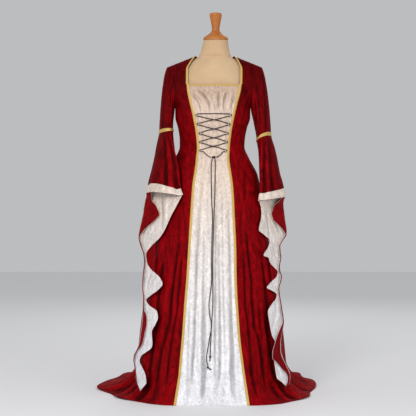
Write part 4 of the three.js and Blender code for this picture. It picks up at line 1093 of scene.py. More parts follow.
def ivory_velvet():
    """Warm at the bust and a cooler silver towards the hem."""
    shader = Shader(
        "ivory_crushed_velvet",
        Roughness=0.48,
        Specular_IOR_Level=0.32,
        Sheen_Weight=0.3,
        Sheen_Roughness=0.3,
        Sheen_Tint=(1, 0.98, 0.95, 1),
    )
    broad, fine = crushed(shader)
    grain = shader.noise(shader.place((1, 1, 0.7)), 210, 3, 0.6, 0.9)
    height = shader.parts(shader.coordinates.outputs["Object"])[2]
    level = shader.math("MULTIPLY", height, 1 / INSERT_METRES)
    warm = shader.ramp(
        level,
        (0.09, (0.9, 0.89, 0.92)), (0.42, (0.88, 0.82, 0.79)), (0.68, (0.83, 0.68, 0.57)),
        (0.8, (0.79, 0.61, 0.49)), (0.925, (0.74, 0.56, 0.45)), (0.955, (0.6, 0.43, 0.32)),
    )
    shade = shader.ramp(broad, (0.34, 0.86), (0.62, 1.05))
    streaks = shader.ramp(fine, (0.36, 0.84), (0.64, 1.06))
    specks = shader.ramp(grain, (0.36, 0.82), (0.62, 1.06))
    # The last tone is painted shade in the cloth's valleys and painted highlight on its ridges.
    color = shader.shade(warm, shader.shade(shade, streaks), specks, painted_shading_tone(shader, 0.56, 1.12))
    lifted = shader.bump(broad, 0.0014, 0.5)
    normal = shader.bump(fine, 0.0007, 0.7, lifted)
    normal = shader.bump(grain, 0.0004, 0.6, normal)
    rough = shader.ramp(fine, (0.3, 0.36), (0.7, 0.6))
    return shader.finish(color, rough, normal)


def gold_braid():
    """Woven metallic braid: chevrons of gold thread between two corded edges."""
    shader = Shader("gold_braid", Metallic=0.35, Roughness=0.45)
    across, along = shader.parts(shader.place(source="UV"))[:2]
    middle = shader.math("ABSOLUTE", shader.math("SUBTRACT", across, 0.5))
    slant = shader.math("ADD", shader.math("MULTIPLY", middle, 9.0), shader.math("MULTIPLY", along, 900.0))
    weave = shader.halved(shader.math("SINE", shader.math("MULTIPLY", slant, 1.6)))
    threads = shader.noise(shader.place(), 900, 2)
    color = shader.ramp(weave, (0.1, (0.42, 0.24, 0.045)), (0.7, (0.86, 0.57, 0.15)))
    shine = shader.ramp(threads, (0.3, (0.6, 0.37, 0.09)), (0.7, (0.97, 0.72, 0.27)))
    color = shader.mix(0.35, color, shine)
    normal = shader.bump(weave, 0.0007, 1.0)
    return shader.finish(color, None, normal)


def lace_cord(name, dark, light):
    sheen = {"Sheen_Weight": 0.08, "Sheen_Roughness": 0.5}
    shader = Shader(name, Roughness=0.72, Specular_IOR_Level=0.25, **sheen)
    threads = shader.noise(shader.place(), 700, 3)
    color = shader.ramp(threads, (0.35, dark), (0.7, light))
    return shader.finish(color, None, shader.bump(threads, 0.0005, 0.8))


def jersey():
    """Cream cotton jersey: fine knit ribs and a little unevenness from handling."""
    shader = Shader("cream_jersey", Roughness=0.85, Sheen_Weight=0.15, Sheen_Roughness=0.6)
    ribs = shader.waves(shader.place(), 380, 0.6, "X")
    rows = shader.waves(shader.place(), 300, 0.6, "Z")
    patches = shader.noise(shader.place(), 9, 4)
    color = shader.ramp(patches, (0.3, (0.57, 0.375, 0.205)), (0.75, (0.66, 0.465, 0.278)))
    knit = shader.mix(0.5, ribs, rows)
    return shader.finish(color, None, shader.bump(knit, 0.0004, 0.5))


def turned_wood():
    """Varnished turned wood with grain along its height."""
    shader = Shader("turned_wood", Roughness=0.5, Coat_Weight=0.04, Coat_Roughness=0.3)
    grain = shader.noise(shader.place((1, 1, 0.12)), 190, 5, 0.6, 1.2)
    bands = shader.noise(shader.place((1, 1, 0.2)), 34, 3, 0.5, 0.8)
    color = shader.ramp(grain, (0.32, (0.37, 0.1, 0.01)), (0.68, (0.55, 0.18, 0.024)))
    light = shader.ramp(bands, (0.35, (0.32, 0.085, 0.009)), (0.7, (0.6, 0.22, 0.038)))
    color = shader.mix(0.35, color, light)
    return shader.finish(color, None, shader.bump(grain, 0.0003, 0.5))


def satin_metal():
    shader = Shader("satin_black_metal", Metallic=0.6, Roughness=0.42)
    speck = shader.noise(shader.place(), 420, 2)
    color = shader.ramp(speck, (0.3, (0.035, 0.035, 0.038)), (0.7, (0.06, 0.06, 0.064)))
    return shader.finish(color, None, shader.bump(speck, 0.0001, 0.4))


# Creases


def crease_depth(u, v, creases):
    """Sum of the listed soft troughs and ridges: each runs from (u1, v1) to (u2, v2)."""
    total = np.zeros_like(u)
    for crease in creases:
        start = np.array([crease["u1"], crease["v1"]], float)
        run = np.array([crease["u2"], crease["v2"]], float) - start
        along = ((u - start[0]) * run[0] + (v - start[1]) * run[1]) / (run @ run)
        bend = crease["bend"] * np.sin(np.pi * np.clip(along, 0, 1))
        across = ((u - start[0]) * run[1] - (v - start[1]) * run[0]) / math.hypot(*run) - bend
        ends = step_up(along, *CREASE_SWELLS) * (1 - step_up(along, *CREASE_FADES))
        total += crease["deep"] * ends * np.exp(-((across / crease["wide"]) ** 2))
    return total


def ripple(u, v):
    """Small uneven waves of crushed pile, longer down the cloth than across it."""
    return (
        0.5 * np.sin(u * 0.31 + 2.1 * np.sin(v * 0.021 + 0.7))
        + 0.4 * np.sin(u * 0.53 + v * 0.047 + 1.7 * np.sin(v * 0.033 + 2.0))
        + 0.35 * np.sin(v * 0.13 + u * 0.09 + 1.3 * np.sin(u * 0.05))
    )


# In front view: across and up, in millimetres. deep is below 0 for a trough.
CREASE = "u1 v1 u2 v2 wide deep bend"
INSERT_CREASES = table(
    CREASE,
    (-70, 1262, -8, 1166, 6, -5.2, -17),
    (-88, 1256, -26, 1168, 6, 4.6, -17),
    (-56, 1262, 10, 1172, 5, 4.4, -16),
    (-92, 1240, -50, 1166, 5, -4.4, -12),
    (-36, 1250, 14, 1180, 5, -3.8, -10),
    (66, 1256, 46, 1164, 6, -4.6, 8),
    (52, 1262, 40, 1168, 5, 4.4, 4),
    (86, 1252, 66, 1170, 5, 4.2, 5),
    (94, 1230, 80, 1172, 5, -3.2, 3),
    (28, 1256, 26, 1176, 6, -4.4, 2),
    (8, 1252, 6, 1190, 5, 4, 0),
    (-30, 1150, 32, 1140, 5, -1.6, 2),
    (-44, 1128, 10, 1120, 5, 1.4, 2),
    (-28, 1098, 40, 1104, 5, -1.4, -2),
    (-34, 1062, 30, 1054, 5, 1.4, 2),
    (-26, 1030, 36, 1026, 5, -1.5, -2),
    (-48, 1000, -18, 986, 4, -1.5, 2),
    (58, 1002, 30, 988, 4, -1.5, -2),
    (-36, 940, -58, 560, 7, -3.5, 4),
    (-24, 960, -30, 300, 6, 2.6, 3),
    (-60, 780, -82, 40, 7, -5.0, -3),
    (-46, 640, -62, 30, 6, -4.2, 2),
    (-30, 820, -39, 36, 7, -4.6, 2),
    (-14, 700, -18, 60, 7, 3.2, 2),
    (14, 880, 8, 30, 6, -4.4, -3),
    (26, 760, 32, 30, 6, -4.6, 2),
    (20, 560, 20, 90, 6, 3.0, 0),
    (40, 900, 56, 30, 7, -4.8, 3),
    (52, 560, 70, 40, 6, 3.0, 2),
    (66, 820, 88, 36, 7, -5.0, 3),
    (-92, 420, -100, 40, 6, -3.2, 0),
    (96, 460, 104, 40, 6, -3.2, 0),
    (-70, 200, -50, 22, 8, 4.0, 4),
    (-24, 160, -40, 18, 8, -4.0, 4),
    (44, 170, 30, 18, 8, 4.0, 4),
    (70, 190, 82, 20, 8, -4.0, 4),
)
FRONT_CREASES = table(
    CREASE,
    (-176, 1330, -120, 1210, 9, -4.0, 8),
    (-160, 1300, -104, 1170, 9, 3.4, 6),
    (-150, 1240, -110, 1120, 8, -3.2, 6),
    (-128, 1180, -84, 1062, 8, 2.6, 4),
    (-118, 1090, -78, 1010, 7, -2.6, -4),
    (-130, 1046, -76, 1028, 6, -2.6, 3),
    (-126, 1016, -74, 1000, 6, 2.2, 2),
    (-140, 960, -108, 690, 9, -5.0, 6),
    (-124, 900, -112, 420, 8, 4.0, 4),
    (-134, 660, -176, 250, 7, -8.0, 6),
    (-172, 330, -230, 44, 7, -9.0, 7),
    (-116, 640, -146, 300, 6, -6.5, 3),
    (-140, 380, -186, 50, 6, -7.5, 6),
    (-126, 420, -160, 60, 6, 5.0, 4),
    (-196, 600, -236, 250, 9, -7.0, 4),
    (-214, 380, -262, 46, 8, -8.0, 6),
    (-176, 520, -206, 150, 8, 5.0, 4),
    (-120, 200, -140, 20, 6, -5.0, 2),
    (176, 1330, 124, 1214, 9, -4.0, -8),
    (162, 1296, 112, 1168, 9, 3.4, -6),
    (150, 1244, 118, 1118, 8, -3.2, -6),
    (132, 1180, 92, 1064, 8, 2.6, -4),
    (120, 1090, 84, 1012, 7, -2.6, 4),
    (134, 1048, 82, 1030, 6, -2.6, -3),
    (130, 1018, 80, 1002, 6, 2.2, -2),
    (142, 960, 112, 690, 9, -5.0, -6),
    (126, 900, 118, 430, 8, 4.0, -4),
    (138, 680, 172, 260, 7, -9.0, -5),
    (166, 330, 214, 44, 7, -9.0, -6),
    (118, 700, 134, 340, 6, -6.0, -3),
    (132, 420, 162, 50, 6, -7.5, -4),
    (150, 560, 190, 120, 7, 5.0, -4),
    (200, 620, 236, 240, 8, -8.0, -4),
    (206, 360, 256, 46, 8, -8.0, -6),
    (184, 500, 222, 90, 7, 5.0, -4),
    (150, 170, 176, 20, 9, -6.0, -2),
)
BACK_CREASES = table(
    CREASE,
    (-150, 1330, -90, 1180, 10, -4.0, 8),
    (150, 1326, 88, 1184, 10, -4.0, -8),
    (-120, 1250, -60, 1090, 9, 3.4, 6),
    (118, 1256, 62, 1084, 9, 3.4, -6),
    (-40, 1300, -20, 1100, 10, -2.8, 3),
    (44, 1290, 26, 1096, 10, -2.8, -3),
    (-110, 1050, -30, 1032, 7, -3.0, 3),
    (108, 1044, 34, 1036, 7, -3.0, -3),
    (-90, 1016, -20, 1004, 7, 2.6, -3),
    (92, 1012, 26, 1008, 7, 2.6, 3),
    (-60, 940, -110, 300, 12, -7.0, 6),
    (-20, 900, -40, 160, 12, -7.0, 4),
    (22, 920, 50, 170, 12, -7.0, -4),
    (64, 930, 118, 290, 12, -7.0, -6),
    (-110, 860, -190, 260, 12, 6.0, 6),
    (114, 850, 196, 250, 12, 6.0, -6),
    (-150, 700, -236, 160, 12, -7.0, 6),
    (152, 690, 240, 170, 12, -7.0, -6),
)

# In front view, across and up: soft folds in the falling end of each sleeve
FALL_CREASES = {
    "left": table(
        CREASE,
        (-206, 834, -200, 668, 6, -7, -4), (-181, 826, -190, 690, 7, 5, 3),
        (-226, 812, -220, 740, 5, 4, 2), (-152, 818, -166, 770, 4, -4, 2),
        (-258, 716, -292, 640, 5, -6, 4), (-232, 708, -262, 652, 6, 4, 3),
        (-286, 612, -278, 560, 5, -4, 0), (-238, 532, -268, 418, 5, -7, 3),
        (-214, 512, -236, 452, 5, 5, 2), (-206, 498, -212, 462, 4, -4, 0),
        (-272, 402, -250, 352, 4, -5, 2), (-262, 340, -256, 250, 6, 4, 2),
        (-250, 240, -268, 214, 4, -5, 0), (-296, 204, -270, 220, 4, -4, 0),
        (-304, 168, -296, 86, 5, -4, 0),
    ),
    "right": table(
        CREASE,
        (222, 774, 238, 622, 5, -7, 3), (206, 770, 214, 700, 6, 5, -2),
        (252, 724, 278, 668, 5, -7, -2), (246, 640, 262, 560, 5, -4, 0),
        (262, 690, 272, 610, 5, 4, 0), (238, 556, 244, 500, 5, -4, 0),
        (238, 492, 256, 426, 4, -6, 2), (262, 486, 268, 436, 5, 4, 0),
        (260, 400, 243, 278, 5, -5, -3), (276, 380, 262, 300, 5, 4, 0),
        (246, 330, 240, 276, 4, -4, 0), (247, 150, 272, 92, 5, -4, 0),
        (264, 142, 286, 84, 5, 4, 0),
    ),
}

# Grooves down a sleeve: the column at its top and low end, counted from the outer side with
# the front at 4 and the inner side at 8, its width in columns and its depth at both ends
GROOVE = "top low wide top_deep low_deep"
UPPER_CREASES = {
    "left": table(
        GROOVE, (2.2, 1.6, 0.5, -1.5, -2.5), (4.6, 4.0, 0.45, -2.5, -1.5), (6.6, 6.9, 0.5, -3, -2),
        (11, 11.6, 0.6, -3, -2), (14, 13.6, 0.6, -2, -2.5),
    ),
    "right": table(
        GROOVE, (2.0, 2.4, 0.5, -1.5, -2.5), (4.2, 4.6, 0.45, -2.5, -1.5), (6.4, 6.9, 0.5, -3, -2),
        (10.6, 11.2, 0.6, -3, -2), (13.6, 14, 0.6, -2, -2.5),
    ),
}
BELL_CREASES = {
    "left": table(
        GROOVE, (2.0, 1.3, 0.34, -2, -6), (3.2, 3.0, 0.5, -3, -12), (4.8, 5.0, 0.36, -2, -6),
        (6.5, 6.9, 0.34, -1.5, -5), (2.7, 2.3, 0.35, 1, 3.5), (4.1, 4.2, 0.35, 1, 4),
        (10, 9.7, 0.5, -2, -7), (12, 12, 0.5, -2, -8), (13.8, 14.2, 0.5, -2, -6),
    ),
    "right": table(
        GROOVE, (1.8, 1.2, 0.34, -2, -7), (2.9, 2.6, 0.44, -3, -11), (4.3, 4.2, 0.42, -2.5, -9),
        (6.2, 6.5, 0.34, -1.5, -5), (2.5, 2.1, 0.35, 1, 3.5), (3.9, 3.7, 0.35, 1, 4),
        (10, 9.8, 0.5, -2, -7), (12, 12.2, 0.5, -2, -8), (13.9, 14.1, 0.5, -2, -6),
    ),
}


def grid_normals(grid, closed=False):
    """Outward normals of a grid whose rows run down and columns to the right, seen from outside."""
    down = np.gradient(grid, axis=0)
    if closed:
        padded = np.concatenate([grid[:, -2:-1], grid, grid[:, 1:2]], axis=1)
        across = np.gradient(padded, axis=1)[:, 1:-1]
    else:
        across = np.gradient(grid, axis=1)
    normal = np.cross(down, across)
    size = np.linalg.norm(normal, axis=2, keepdims=True)
    return normal / np.maximum(size, 1e-9)


def seam_fade(grid, start, reach):
    """1 inside a panel and 0 at its two side seams, over a number of columns."""
    column = np.arange(grid.shape[1])
    inside = np.minimum(column, grid.shape[1] - 1 - column)
    return step_up(inside, start, reach)[None, :]


def fold_shading_of(grid, reach, closed=False):
    """Below 0 in a valley and above it on a ridge, against the cloth's mean near by: the painted shade and
    highlight of the folds.
    """
    core = grid[:, :-1] if closed else grid
    if closed:
        padded = np.concatenate([core[:, -reach:], core, core[:, : reach + 1]], axis=1)
    else:
        first = 2 * core[:, :1] - core[:, reach:0:-1]
        last = 2 * core[:, -1:] - core[:, -2 : -2 - reach : -1]
        padded = np.concatenate([first, core, last], axis=1)
    weight = np.hanning(2 * reach + 3)[1:-1]
    weight /= weight.sum()
    mean = sum(weight[i] * padded[:, i : i + grid.shape[1]] for i in range(2 * reach + 1))
    relief = ((grid - mean) * grid_normals(grid, closed)).sum(axis=2)
    relief -= np.median(relief, axis=1, keepdims=True)
    return np.clip(relief / SHADING_RELIEF, -1, 1)


def creased(grid, creases, fade, floor):
    """Lays creases and the small waves of the pile in a panel, less so close to the floor."""
    u, v = grid[..., 0], grid[..., 2]
    lift = (crease_depth(u, v, creases) + PILE_WAVE * ripple(u, v)) * fade * step_up(v, 0, floor)
    return grid + grid_normals(grid) * lift[..., None]


def pooled(grid, fade):
    """Soft uneven ridges in the cloth that lies on the floor, running out to the hem."""
    count = SPREAD_ROWS
    step = np.zeros(grid.shape[0])
    step[-count:] = np.arange(1, count + 1) / count
    turn = np.unwrap(np.arctan2(grid[-1, :, 0], -grid[-1, :, 1]))
    flow = 1.3 * np.sin(turn * 23 + 1.2 * np.sin(turn * 7))
    flow += 0.8 * np.sin(turn * 37 + 2 * np.sin(turn * 5 + 1))
    wave = flow[None, :] + 0.7 * np.sin(step[:, None] * 7 + turn[None, :] * 11)
    spread = smooth(HEM_ROWS, "turn", "spread", np.minimum(180, np.abs(np.degrees(wrap(turn)))))
    lift = POOL_WAVE * wave * np.sin(np.pi * step ** 0.8)[:, None] * spread[None, :] * fade
    out = grid.copy()
    out[..., 2] = np.maximum(out[..., 2] + lift, VELVET)
    out[: -count, :, 2] = grid[: -count, :, 2]
    return out


# Cloth pieces


def index_quads(index):
    """Faces between the rows and columns of a grid of point numbers."""
    a, b = index[:-1, :-1], index[1:, :-1]
    c, d = index[1:, 1:], index[:-1, 1:]
    return np.stack([a, b, c, d], axis=-1).reshape(-1, 4)


def grid_quads(rows, columns, closed=False):
    index = np.arange(rows * columns).reshape(rows, columns)
    if closed:
        index = np.concatenate([index, index[:, :1]], axis=1)
    return index_quads(index)


def finish_piece(obj, slot, node):
    """Gives a mesh its finish and puts it in the place of a solid."""
    obj.data.materials.append(FINISHES[slot])
    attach(obj, "root")
    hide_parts(node)
    return obj


def finish_velvet(obj, slot, node):
    """Gives a sheet of velvet its thickness, inwards from its points."""
    wall = obj.modifiers.new("wall", "SOLIDIFY")
    wall.thickness = VELVET * MM
    wall.offset = -1
    finish_piece(obj, slot, node)


def cord_piece(node, line, slot="lace_cord", **look):
    return finish_piece(braided_tube(f"{node}_cord", line, **look), slot, node)


def inset(grid, amount):
    """Draws the side edges of a panel in by half a seam gap."""
    out = grid.copy()
    for edge, inner in ((0, 1), (-1, -2)):
        aim = out[:, inner] - out[:, edge]
        size = np.maximum(np.linalg.norm(aim, axis=1, keepdims=True), 1e-9)
        out[:, edge] += aim / size * np.minimum(amount, size * 0.4)
    return out


def cloth(node, grid, slot, reach):
    # Painted shade in the folds and painted highlight on their ridges.
    painted_shading = fold_shading_of(grid, reach)
    # Painted shade over the red of the upper front, from the bust up to the shoulders.
    if slot == "velvet_red":
        painted_shading = painted_shading - YOKE_SHADE * step_up(grid[..., 2], YOKE_SHADE_FROM, YOKE_SHADE_TO)
    points = inset(grid, SEAM_GAP / 2).reshape(-1, 3)
    obj = mesh_object(f"{node}_velvet", points, grid_quads(*grid.shape[:2]), painted_shading=painted_shading)
    finish_velvet(obj, slot, node)


# Camera and the free ends of the lace, which are made first


def make_camera():
    data = bpy.data.cameras.new("camera")
    data.lens = CAMERA_LENS
    data.sensor_width = 36
    data.clip_end = 40
    camera = bpy.data.objects.new("camera", data)
    camera.location = CAMERA_PLACE
    camera.rotation_euler = (math.pi / 2, 0, 0)
    bpy.context.scene.collection.objects.link(camera)
    bpy.context.scene.camera = camera


def lathed(name, profile, sides, place=(0, 0, 0), aim=(0, 0, 1)):
    """A turned piece from its radii and heights, its own Z along aim."""
    aim = np.array(aim, float) / np.linalg.norm(aim)
    side = np.cross(aim, (0.0, 1.0, 0.0))
    if np.linalg.norm(side) < 0.1:
        side = np.cross(aim, (1.0, 0.0, 0.0))
    side /= np.linalg.norm(side)
    front = np.cross(aim, side)
    turn = 2 * np.pi * np.arange(sides) / sides
    points = []
    for radius, height in profile:
        for angle in turn:
            spoke = math.cos(angle) * side + math.sin(angle) * front
            points.append(np.array(place) + aim * height + spoke * radius)
    return mesh_object(name, points, round_quads(len(profile), sides))


def eased(profile, steps):
    """A profile with its corners rounded, through its given points."""
    flat = [(radius, height, 0.0) for radius, height in profile]
    line = curve_through(flat, steps)
    return [(max(point[0], 0.05), point[1]) for point in line]


def lace_tail(name):
    rows = TAIL_ROWS[name]
    line = curve_through([front_at(row["x"], row["z"], row["rise"]) for row in rows], TAIL_STEP)
    obj = cord_piece(f"lace_tail_{name}", line)
    end = END_ROWS[name]
    knot = front_at(end["x"], end["z"], END_KNOT_RADIUS + 0.6)
    tip = front_at(end["x"] + end["aim_x"] * END_LENGTH, end["z"] + end["aim_z"] * END_LENGTH, LACE_RISE)
    r = END_KNOT_RADIUS
    profile = [
        (0.6, -r * 0.98), (r * 0.62, -r * 0.74), (r * 0.98, -r * 0.12), (r * 0.92, r * 0.4),
        (LACE * 0.62, r * 0.92), (LACE * 0.48, r * 1.5), (LACE * 0.56, END_LENGTH * 0.7),
        (LACE * 0.66, END_LENGTH * 0.96), (LACE * 0.5, END_LENGTH), (0.3, END_LENGTH * 1.0),
    ]
    piece = lathed(f"lace_end_{name}_knot", eased(profile, END_STEP), END_SIDES, knot, tip - knot)
    finish_piece(piece, "lace_cord", f"lace_end_{name}")


# Slabs: trims and linings as closed solids between two grids


def slab(name, outer, inner, closed=False, uv=None, painted_shading=None):
    """A closed solid between an outer and an inner grid, both seen from outside."""
    rows, columns = outer.shape[:2]
    if closed:
        outer, inner = outer[:, :-1], inner[:, :-1]
        columns -= 1
    skin = grid_quads(rows, columns, closed)
    quads = list(map(tuple, skin))
    shift = rows * columns
    quads += [tuple(shift + q[::-1]) for q in skin]
    index = np.arange(shift).reshape(rows, columns)
    wrap_row = (lambda line: list(line) + [line[0]]) if closed else list
    for line, up in ((wrap_row(index[0]), True), (wrap_row(index[-1]), False)):
        for a, b in zip(line[:-1], line[1:]):
            quads.append((a, b, b + shift, a + shift) if up else (b, a, a + shift, b + shift))
    if not closed:
        for line, left in ((index[:, 0], True), (index[:, -1], False)):
            for a, b in zip(line[:-1], line[1:]):
                quads.append((b, a, a + shift, b + shift) if left else (a, b, b + shift, a + shift))
    points = np.concatenate([outer.reshape(-1, 3), inner.reshape(-1, 3)])
    if uv is not None:
        if closed:
            uv = uv[:, :-1]
        uv = np.concatenate([uv.reshape(-1, 2)] * 2)
    if painted_shading is not None:
        painted_shading = np.concatenate([painted_shading.ravel()] * 2)
    return mesh_object(name, points, quads, uv, painted_shading)


def crowned(grid, low, high, edge_fall, closed=False, across_rows=False):
    """Outer and inner grids over a skin: full height in the middle and lower at the edges."""
    normal = grid_normals(grid, closed)
    count = grid.shape[0 if across_rows else 1]
    place = np.abs(np.linspace(-1, 1, count))
    crown = 1 - edge_fall * place**3
    crown = crown[:, None] if across_rows else crown[None, :]
    outer = grid + normal * (low + (high - low) * crown)[..., None]
    inner = grid + normal * low
    return outer, inner


def braid_uv(grid, across_rows=False):
    """Across the braid from 0 to 1, and along it in metres."""
    if across_rows:
        return np.swapaxes(braid_uv(np.swapaxes(grid, 0, 1)), 0, 1)
    middle = grid[:, grid.shape[1] // 2]
    along = distances(middle) * MM
    across = np.linspace(0, 1, grid.shape[1])
    return np.stack(np.broadcast_arrays(across[None, :], along[:, None]), axis=-1)


def beside_edge(line, places):
    """Points at places along a row of cloth from its first point, also a little before it."""
    along = distances(line)
    start = (line[1] - line[0]) / along[1]
    found = np.stack([np.interp(places, along, line[:, i]) for i in range(3)], axis=-1)
    before = np.minimum(places, 0)
    return found + before[:, None] * start


def side_braid_grid(side):
    """Rows of the braid over an insert seam, and up the neckline to the shoulder."""
    red = PANELS["front_left" if side < 0 else "front_right"]
    ivory = PANELS["insert"]
    missing = len(red) - len(ivory)
    rows = []
    for i, line in enumerate(red):
        outward = line[::-1] if side < 0 else line
        if i < missing:
            rows.append(beside_edge(outward, np.linspace(-0.8, NECK_BRAID, BRAID_COLUMNS)))
            continue
        inward = ivory[i - missing]
        inward = inward if side < 0 else inward[::-1]
        places = np.linspace(0, BRAID_HALF, BRAID_COLUMNS // 2 + 1)
        near = beside_edge(outward, places)
        over = beside_edge(inward, places)
        rows.append(np.concatenate([over[::-1], near[1:]]))
    grid = np.array(rows)
    return grid[:, ::-1] if side < 0 else grid


def braid_piece(node, grid, closed=False, across_rows=False):
    outer, inner = crowned(grid, SEAM_GAP, SEAM_GAP + BRAID, BRAID_ROUNDING, closed, across_rows)
    obj = slab(f"{node}_trim", outer, inner, closed, braid_uv(grid, across_rows))
    finish_piece(obj, "gold_braid", node)


def make_braids():
    braid_piece("braid_left", side_braid_grid(-1))
    braid_piece("braid_right", side_braid_grid(1))
    rows = [insert_yoke_row(INSERT_FIRST + i / YOKE_FINE) for i in range(YOKE_FINE + 1)]
    top = np.array(rows)[:, BRAID_FINE:-BRAID_FINE]
    braid_piece("braid_top_edge", inset(top, SEAM_INSET), across_rows=True)
    rows = np.array([back_yoke_row(i / YOKE_FINE) for i in range(YOKE_FINE + 1)])
    across = np.linspace(0, 1, BACK_FINE + 1)
    keep = np.minimum(across, 1 - across) >= SEAM_PART - 1e-9
    braid_piece("braid_back_neck", rows[:, keep], across_rows=True)


def rows_at(grid, places):
    low = np.clip(np.floor(places).astype(int), 0, len(grid) - 2)
    part = (places - low)[:, None, None]
    return grid[low] * (1 - part) + grid[low + 1] * part


def facing(grid, side):
    """Columns of a sleeve's grid from left to right as seen from outside; turns faces round too."""
    return grid[:, ::-1] if side > 0 else grid


# The painted shade and highlight of a sleeve's folds, worked out with its columns as seen from outside.
def sleeve_fold_shading(grid, side, closed=False):
    return facing(fold_shading_of(facing(grid, side), RING_SHADING_REACH, closed), side)


def bell_mesh(name, side, bell, trail):
    """The closed bell and its trailing end as one sheet of points and quads."""
    ring = bell[:, :-1]
    rows, columns = ring.shape[:2]
    count = trail.shape[1]
    index = np.arange(rows * columns, rows * columns + (len(trail) - 1) * count).reshape(-1, count)
    head = (rows - 1) * columns + FALL_COLUMNS.start + np.arange(count)
    index = np.concatenate([head[None, :], index])
    quads = np.concatenate([grid_quads(rows, columns, True), index_quads(index)])
    points = np.concatenate([ring.reshape(-1, 3), trail[1:].reshape(-1, 3)])
    # Painted shade and highlight from the folds of the bell and its falling end.
    ring_fold_shading = sleeve_fold_shading(bell, side, True)[:, :-1]
    trail_fold_shading = sleeve_fold_shading(trail, side)[1:]
    # The bell ring is painted darker as a whole: painted shade over the sleeve.
    painted_shading = np.concatenate([ring_fold_shading.ravel() - SLEEVE_SHADE, trail_fold_shading.ravel()])
    return mesh_object(name, points, facing(quads, side), painted_shading=painted_shading)


def make_upper(name, side, upper):
    """The upper sleeve, with a row tucked in under the armhole's edge."""
    lifted = dress_ring(upper, side, UPPER_CREASES[name])
    # The upper sleeve is painted darker as a whole: painted shade over the sleeve, besides that of its
    # folds.
    painted_shading = sleeve_fold_shading(lifted, side, True) - SLEEVE_SHADE
    middle = lifted[0].mean(axis=0)
    tucked = lifted[0] + (middle - lifted[0]) * TUCK_IN + np.array([-side * TUCK_SIDE, 0, 0])
    ring = np.concatenate([tucked[None], lifted])[:, :-1]
    # The tucked row under the armhole gets the sleeve's painted shade alone.
    painted_shading = np.concatenate([painted_shading[:1] * 0 - SLEEVE_SHADE, painted_shading])[:, :-1]
    quads = facing(grid_quads(len(ring), ring.shape[1], True), side)
    obj = mesh_object(f"sleeve_upper_{name}_velvet", ring.reshape(-1, 3), quads, painted_shading=painted_shading)
    finish_velvet(obj, "velvet_red", f"sleeve_upper_{name}")


def make_elbow_braid(name, side, upper, bell):
    joined = np.concatenate([upper[:-1], bell])
    start = (len(upper) - 1) - (1 - ELBOW_BRAID_TOP) * UPPER_FINE
    drop = ELBOW_STEP * (BELL_ROWS[name][0]["z"] - BELL_ROWS[name][1]["z"]) / BELL_STEP
    band = rows_at(joined, np.linspace(start, len(upper) - 1 + drop, ELBOW_BRAID_ROWS))
    braid_piece(f"elbow_braid_{name}", facing(band, side), True, True)


def make_cuff(name, side, shown, first):
    """The front half of the turned-back band, from the row first of the bell to its edge."""
    turned = rows_at(shown, np.linspace(first, len(shown) - 1, CUFF_ROWS))
    back, front = RING_BACK * RING_FINE, RING_FRONT * RING_FINE
    turned = facing(np.concatenate([turned[:, back:-1], turned[:, : front + 1]], axis=1), side)
    outer, inner = crowned(turned, SEAM_GAP, SEAM_GAP + CUFF, CUFF_ROUNDING, False, True)
    outer = outer + grid_normals(outer) * cuff_wrinkles(outer)[..., None]
    finish_piece(slab(f"cuff_{name}_velvet", outer, inner), "velvet_ivory", f"cuff_{name}")


def make_lining(name, side, shown, fall, first):
    """The ivory lining inside the bell's edge and down the trailing end."""
    start = first + LINING_START * (len(shown) - 1 - first)
    inside = rows_at(shown, np.linspace(start, len(shown) - 1, LINING_ROWS))[:-1]
    inside = inside[:, FALL_COLUMNS]
    close = np.minimum(1, np.linspace(2.2, 0.3, len(inside)))[:, None]
    for i in range(LINING_CLEAR):
        inside[:, i] += (inside[:, LINING_CLEAR] - inside[:, i]) * close * (1 - 0.02 * i)
    lined = facing(np.concatenate([inside, fall]), side)
    normal = grid_normals(lined)
    near = -(VELVET + SEAM_GAP)
    skins = (lined + normal * near, lined + normal * (near - LINING))
    # The lining's painted shade and highlight, turned round because the lining is seen from the other
    # side.
    obj = slab(f"bell_lining_{name}_velvet", *skins, painted_shading=-fold_shading_of(lined, RING_SHADING_REACH))
    finish_piece(obj, "velvet_ivory", f"bell_lining_{name}")


def make_sleeve(name):
    side = -1 if name == "left" else 1
    upper, bell, trail, red_trail = sleeve(name)
    make_upper(name, side, upper)
    shown = dress_ring(bell, side, BELL_CREASES[name])
    fall, red_fall = cascade(name, trail), cascade(name, red_trail)
    fall[0] = red_fall[0] = shown[-1][FALL_COLUMNS]
    obj = bell_mesh(f"sleeve_bell_{name}_velvet", side, shown, red_fall)
    finish_velvet(obj, "velvet_red", f"sleeve_bell_{name}")
    make_elbow_braid(name, side, upper, bell)
    rows = BELL_ROWS[name]
    first = len(shown) - 1 - (rows[-2]["z"] - rows[-1]["z"]) / BELL_STEP
    make_cuff(name, side, shown, first)
    make_lining(name, side, shown, fall, first)


def dress_ring(grid, side, creases):
    """Lays grooves down a sleeve, deepest in its lower half and gone at both seams."""
    normal = facing(grid_normals(facing(grid, side), True), side)
    row = np.arange(len(grid))
    along = (row / (len(grid) - 1))[:, None]
    column = (RING * np.arange(grid.shape[1]) / (grid.shape[1] - 1))[None, :]
    fade = step_up(np.minimum(row, len(grid) - 1 - row), 0, 5)[:, None]
    turn = 2 * np.pi * column / RING
    lift = SLEEVE_PILE_WAVE * ripple(np.cos(turn) * 60, grid[..., 2]) * fade
    for crease in creases:
        middle = crease["top"] + (crease["low"] - crease["top"]) * along
        apart = (column - middle + RING / 2) % RING - RING / 2
        deep = crease["top_deep"] + (crease["low_deep"] - crease["top_deep"]) * along
        ends = step_up(along, 0, 0.22) * (1 - 0.55 * step_up(along, 0.86, 1))
        lift = lift + deep * ends * np.exp(-((apart / crease["wide"]) ** 2))
    return grid + normal * lift[..., None]


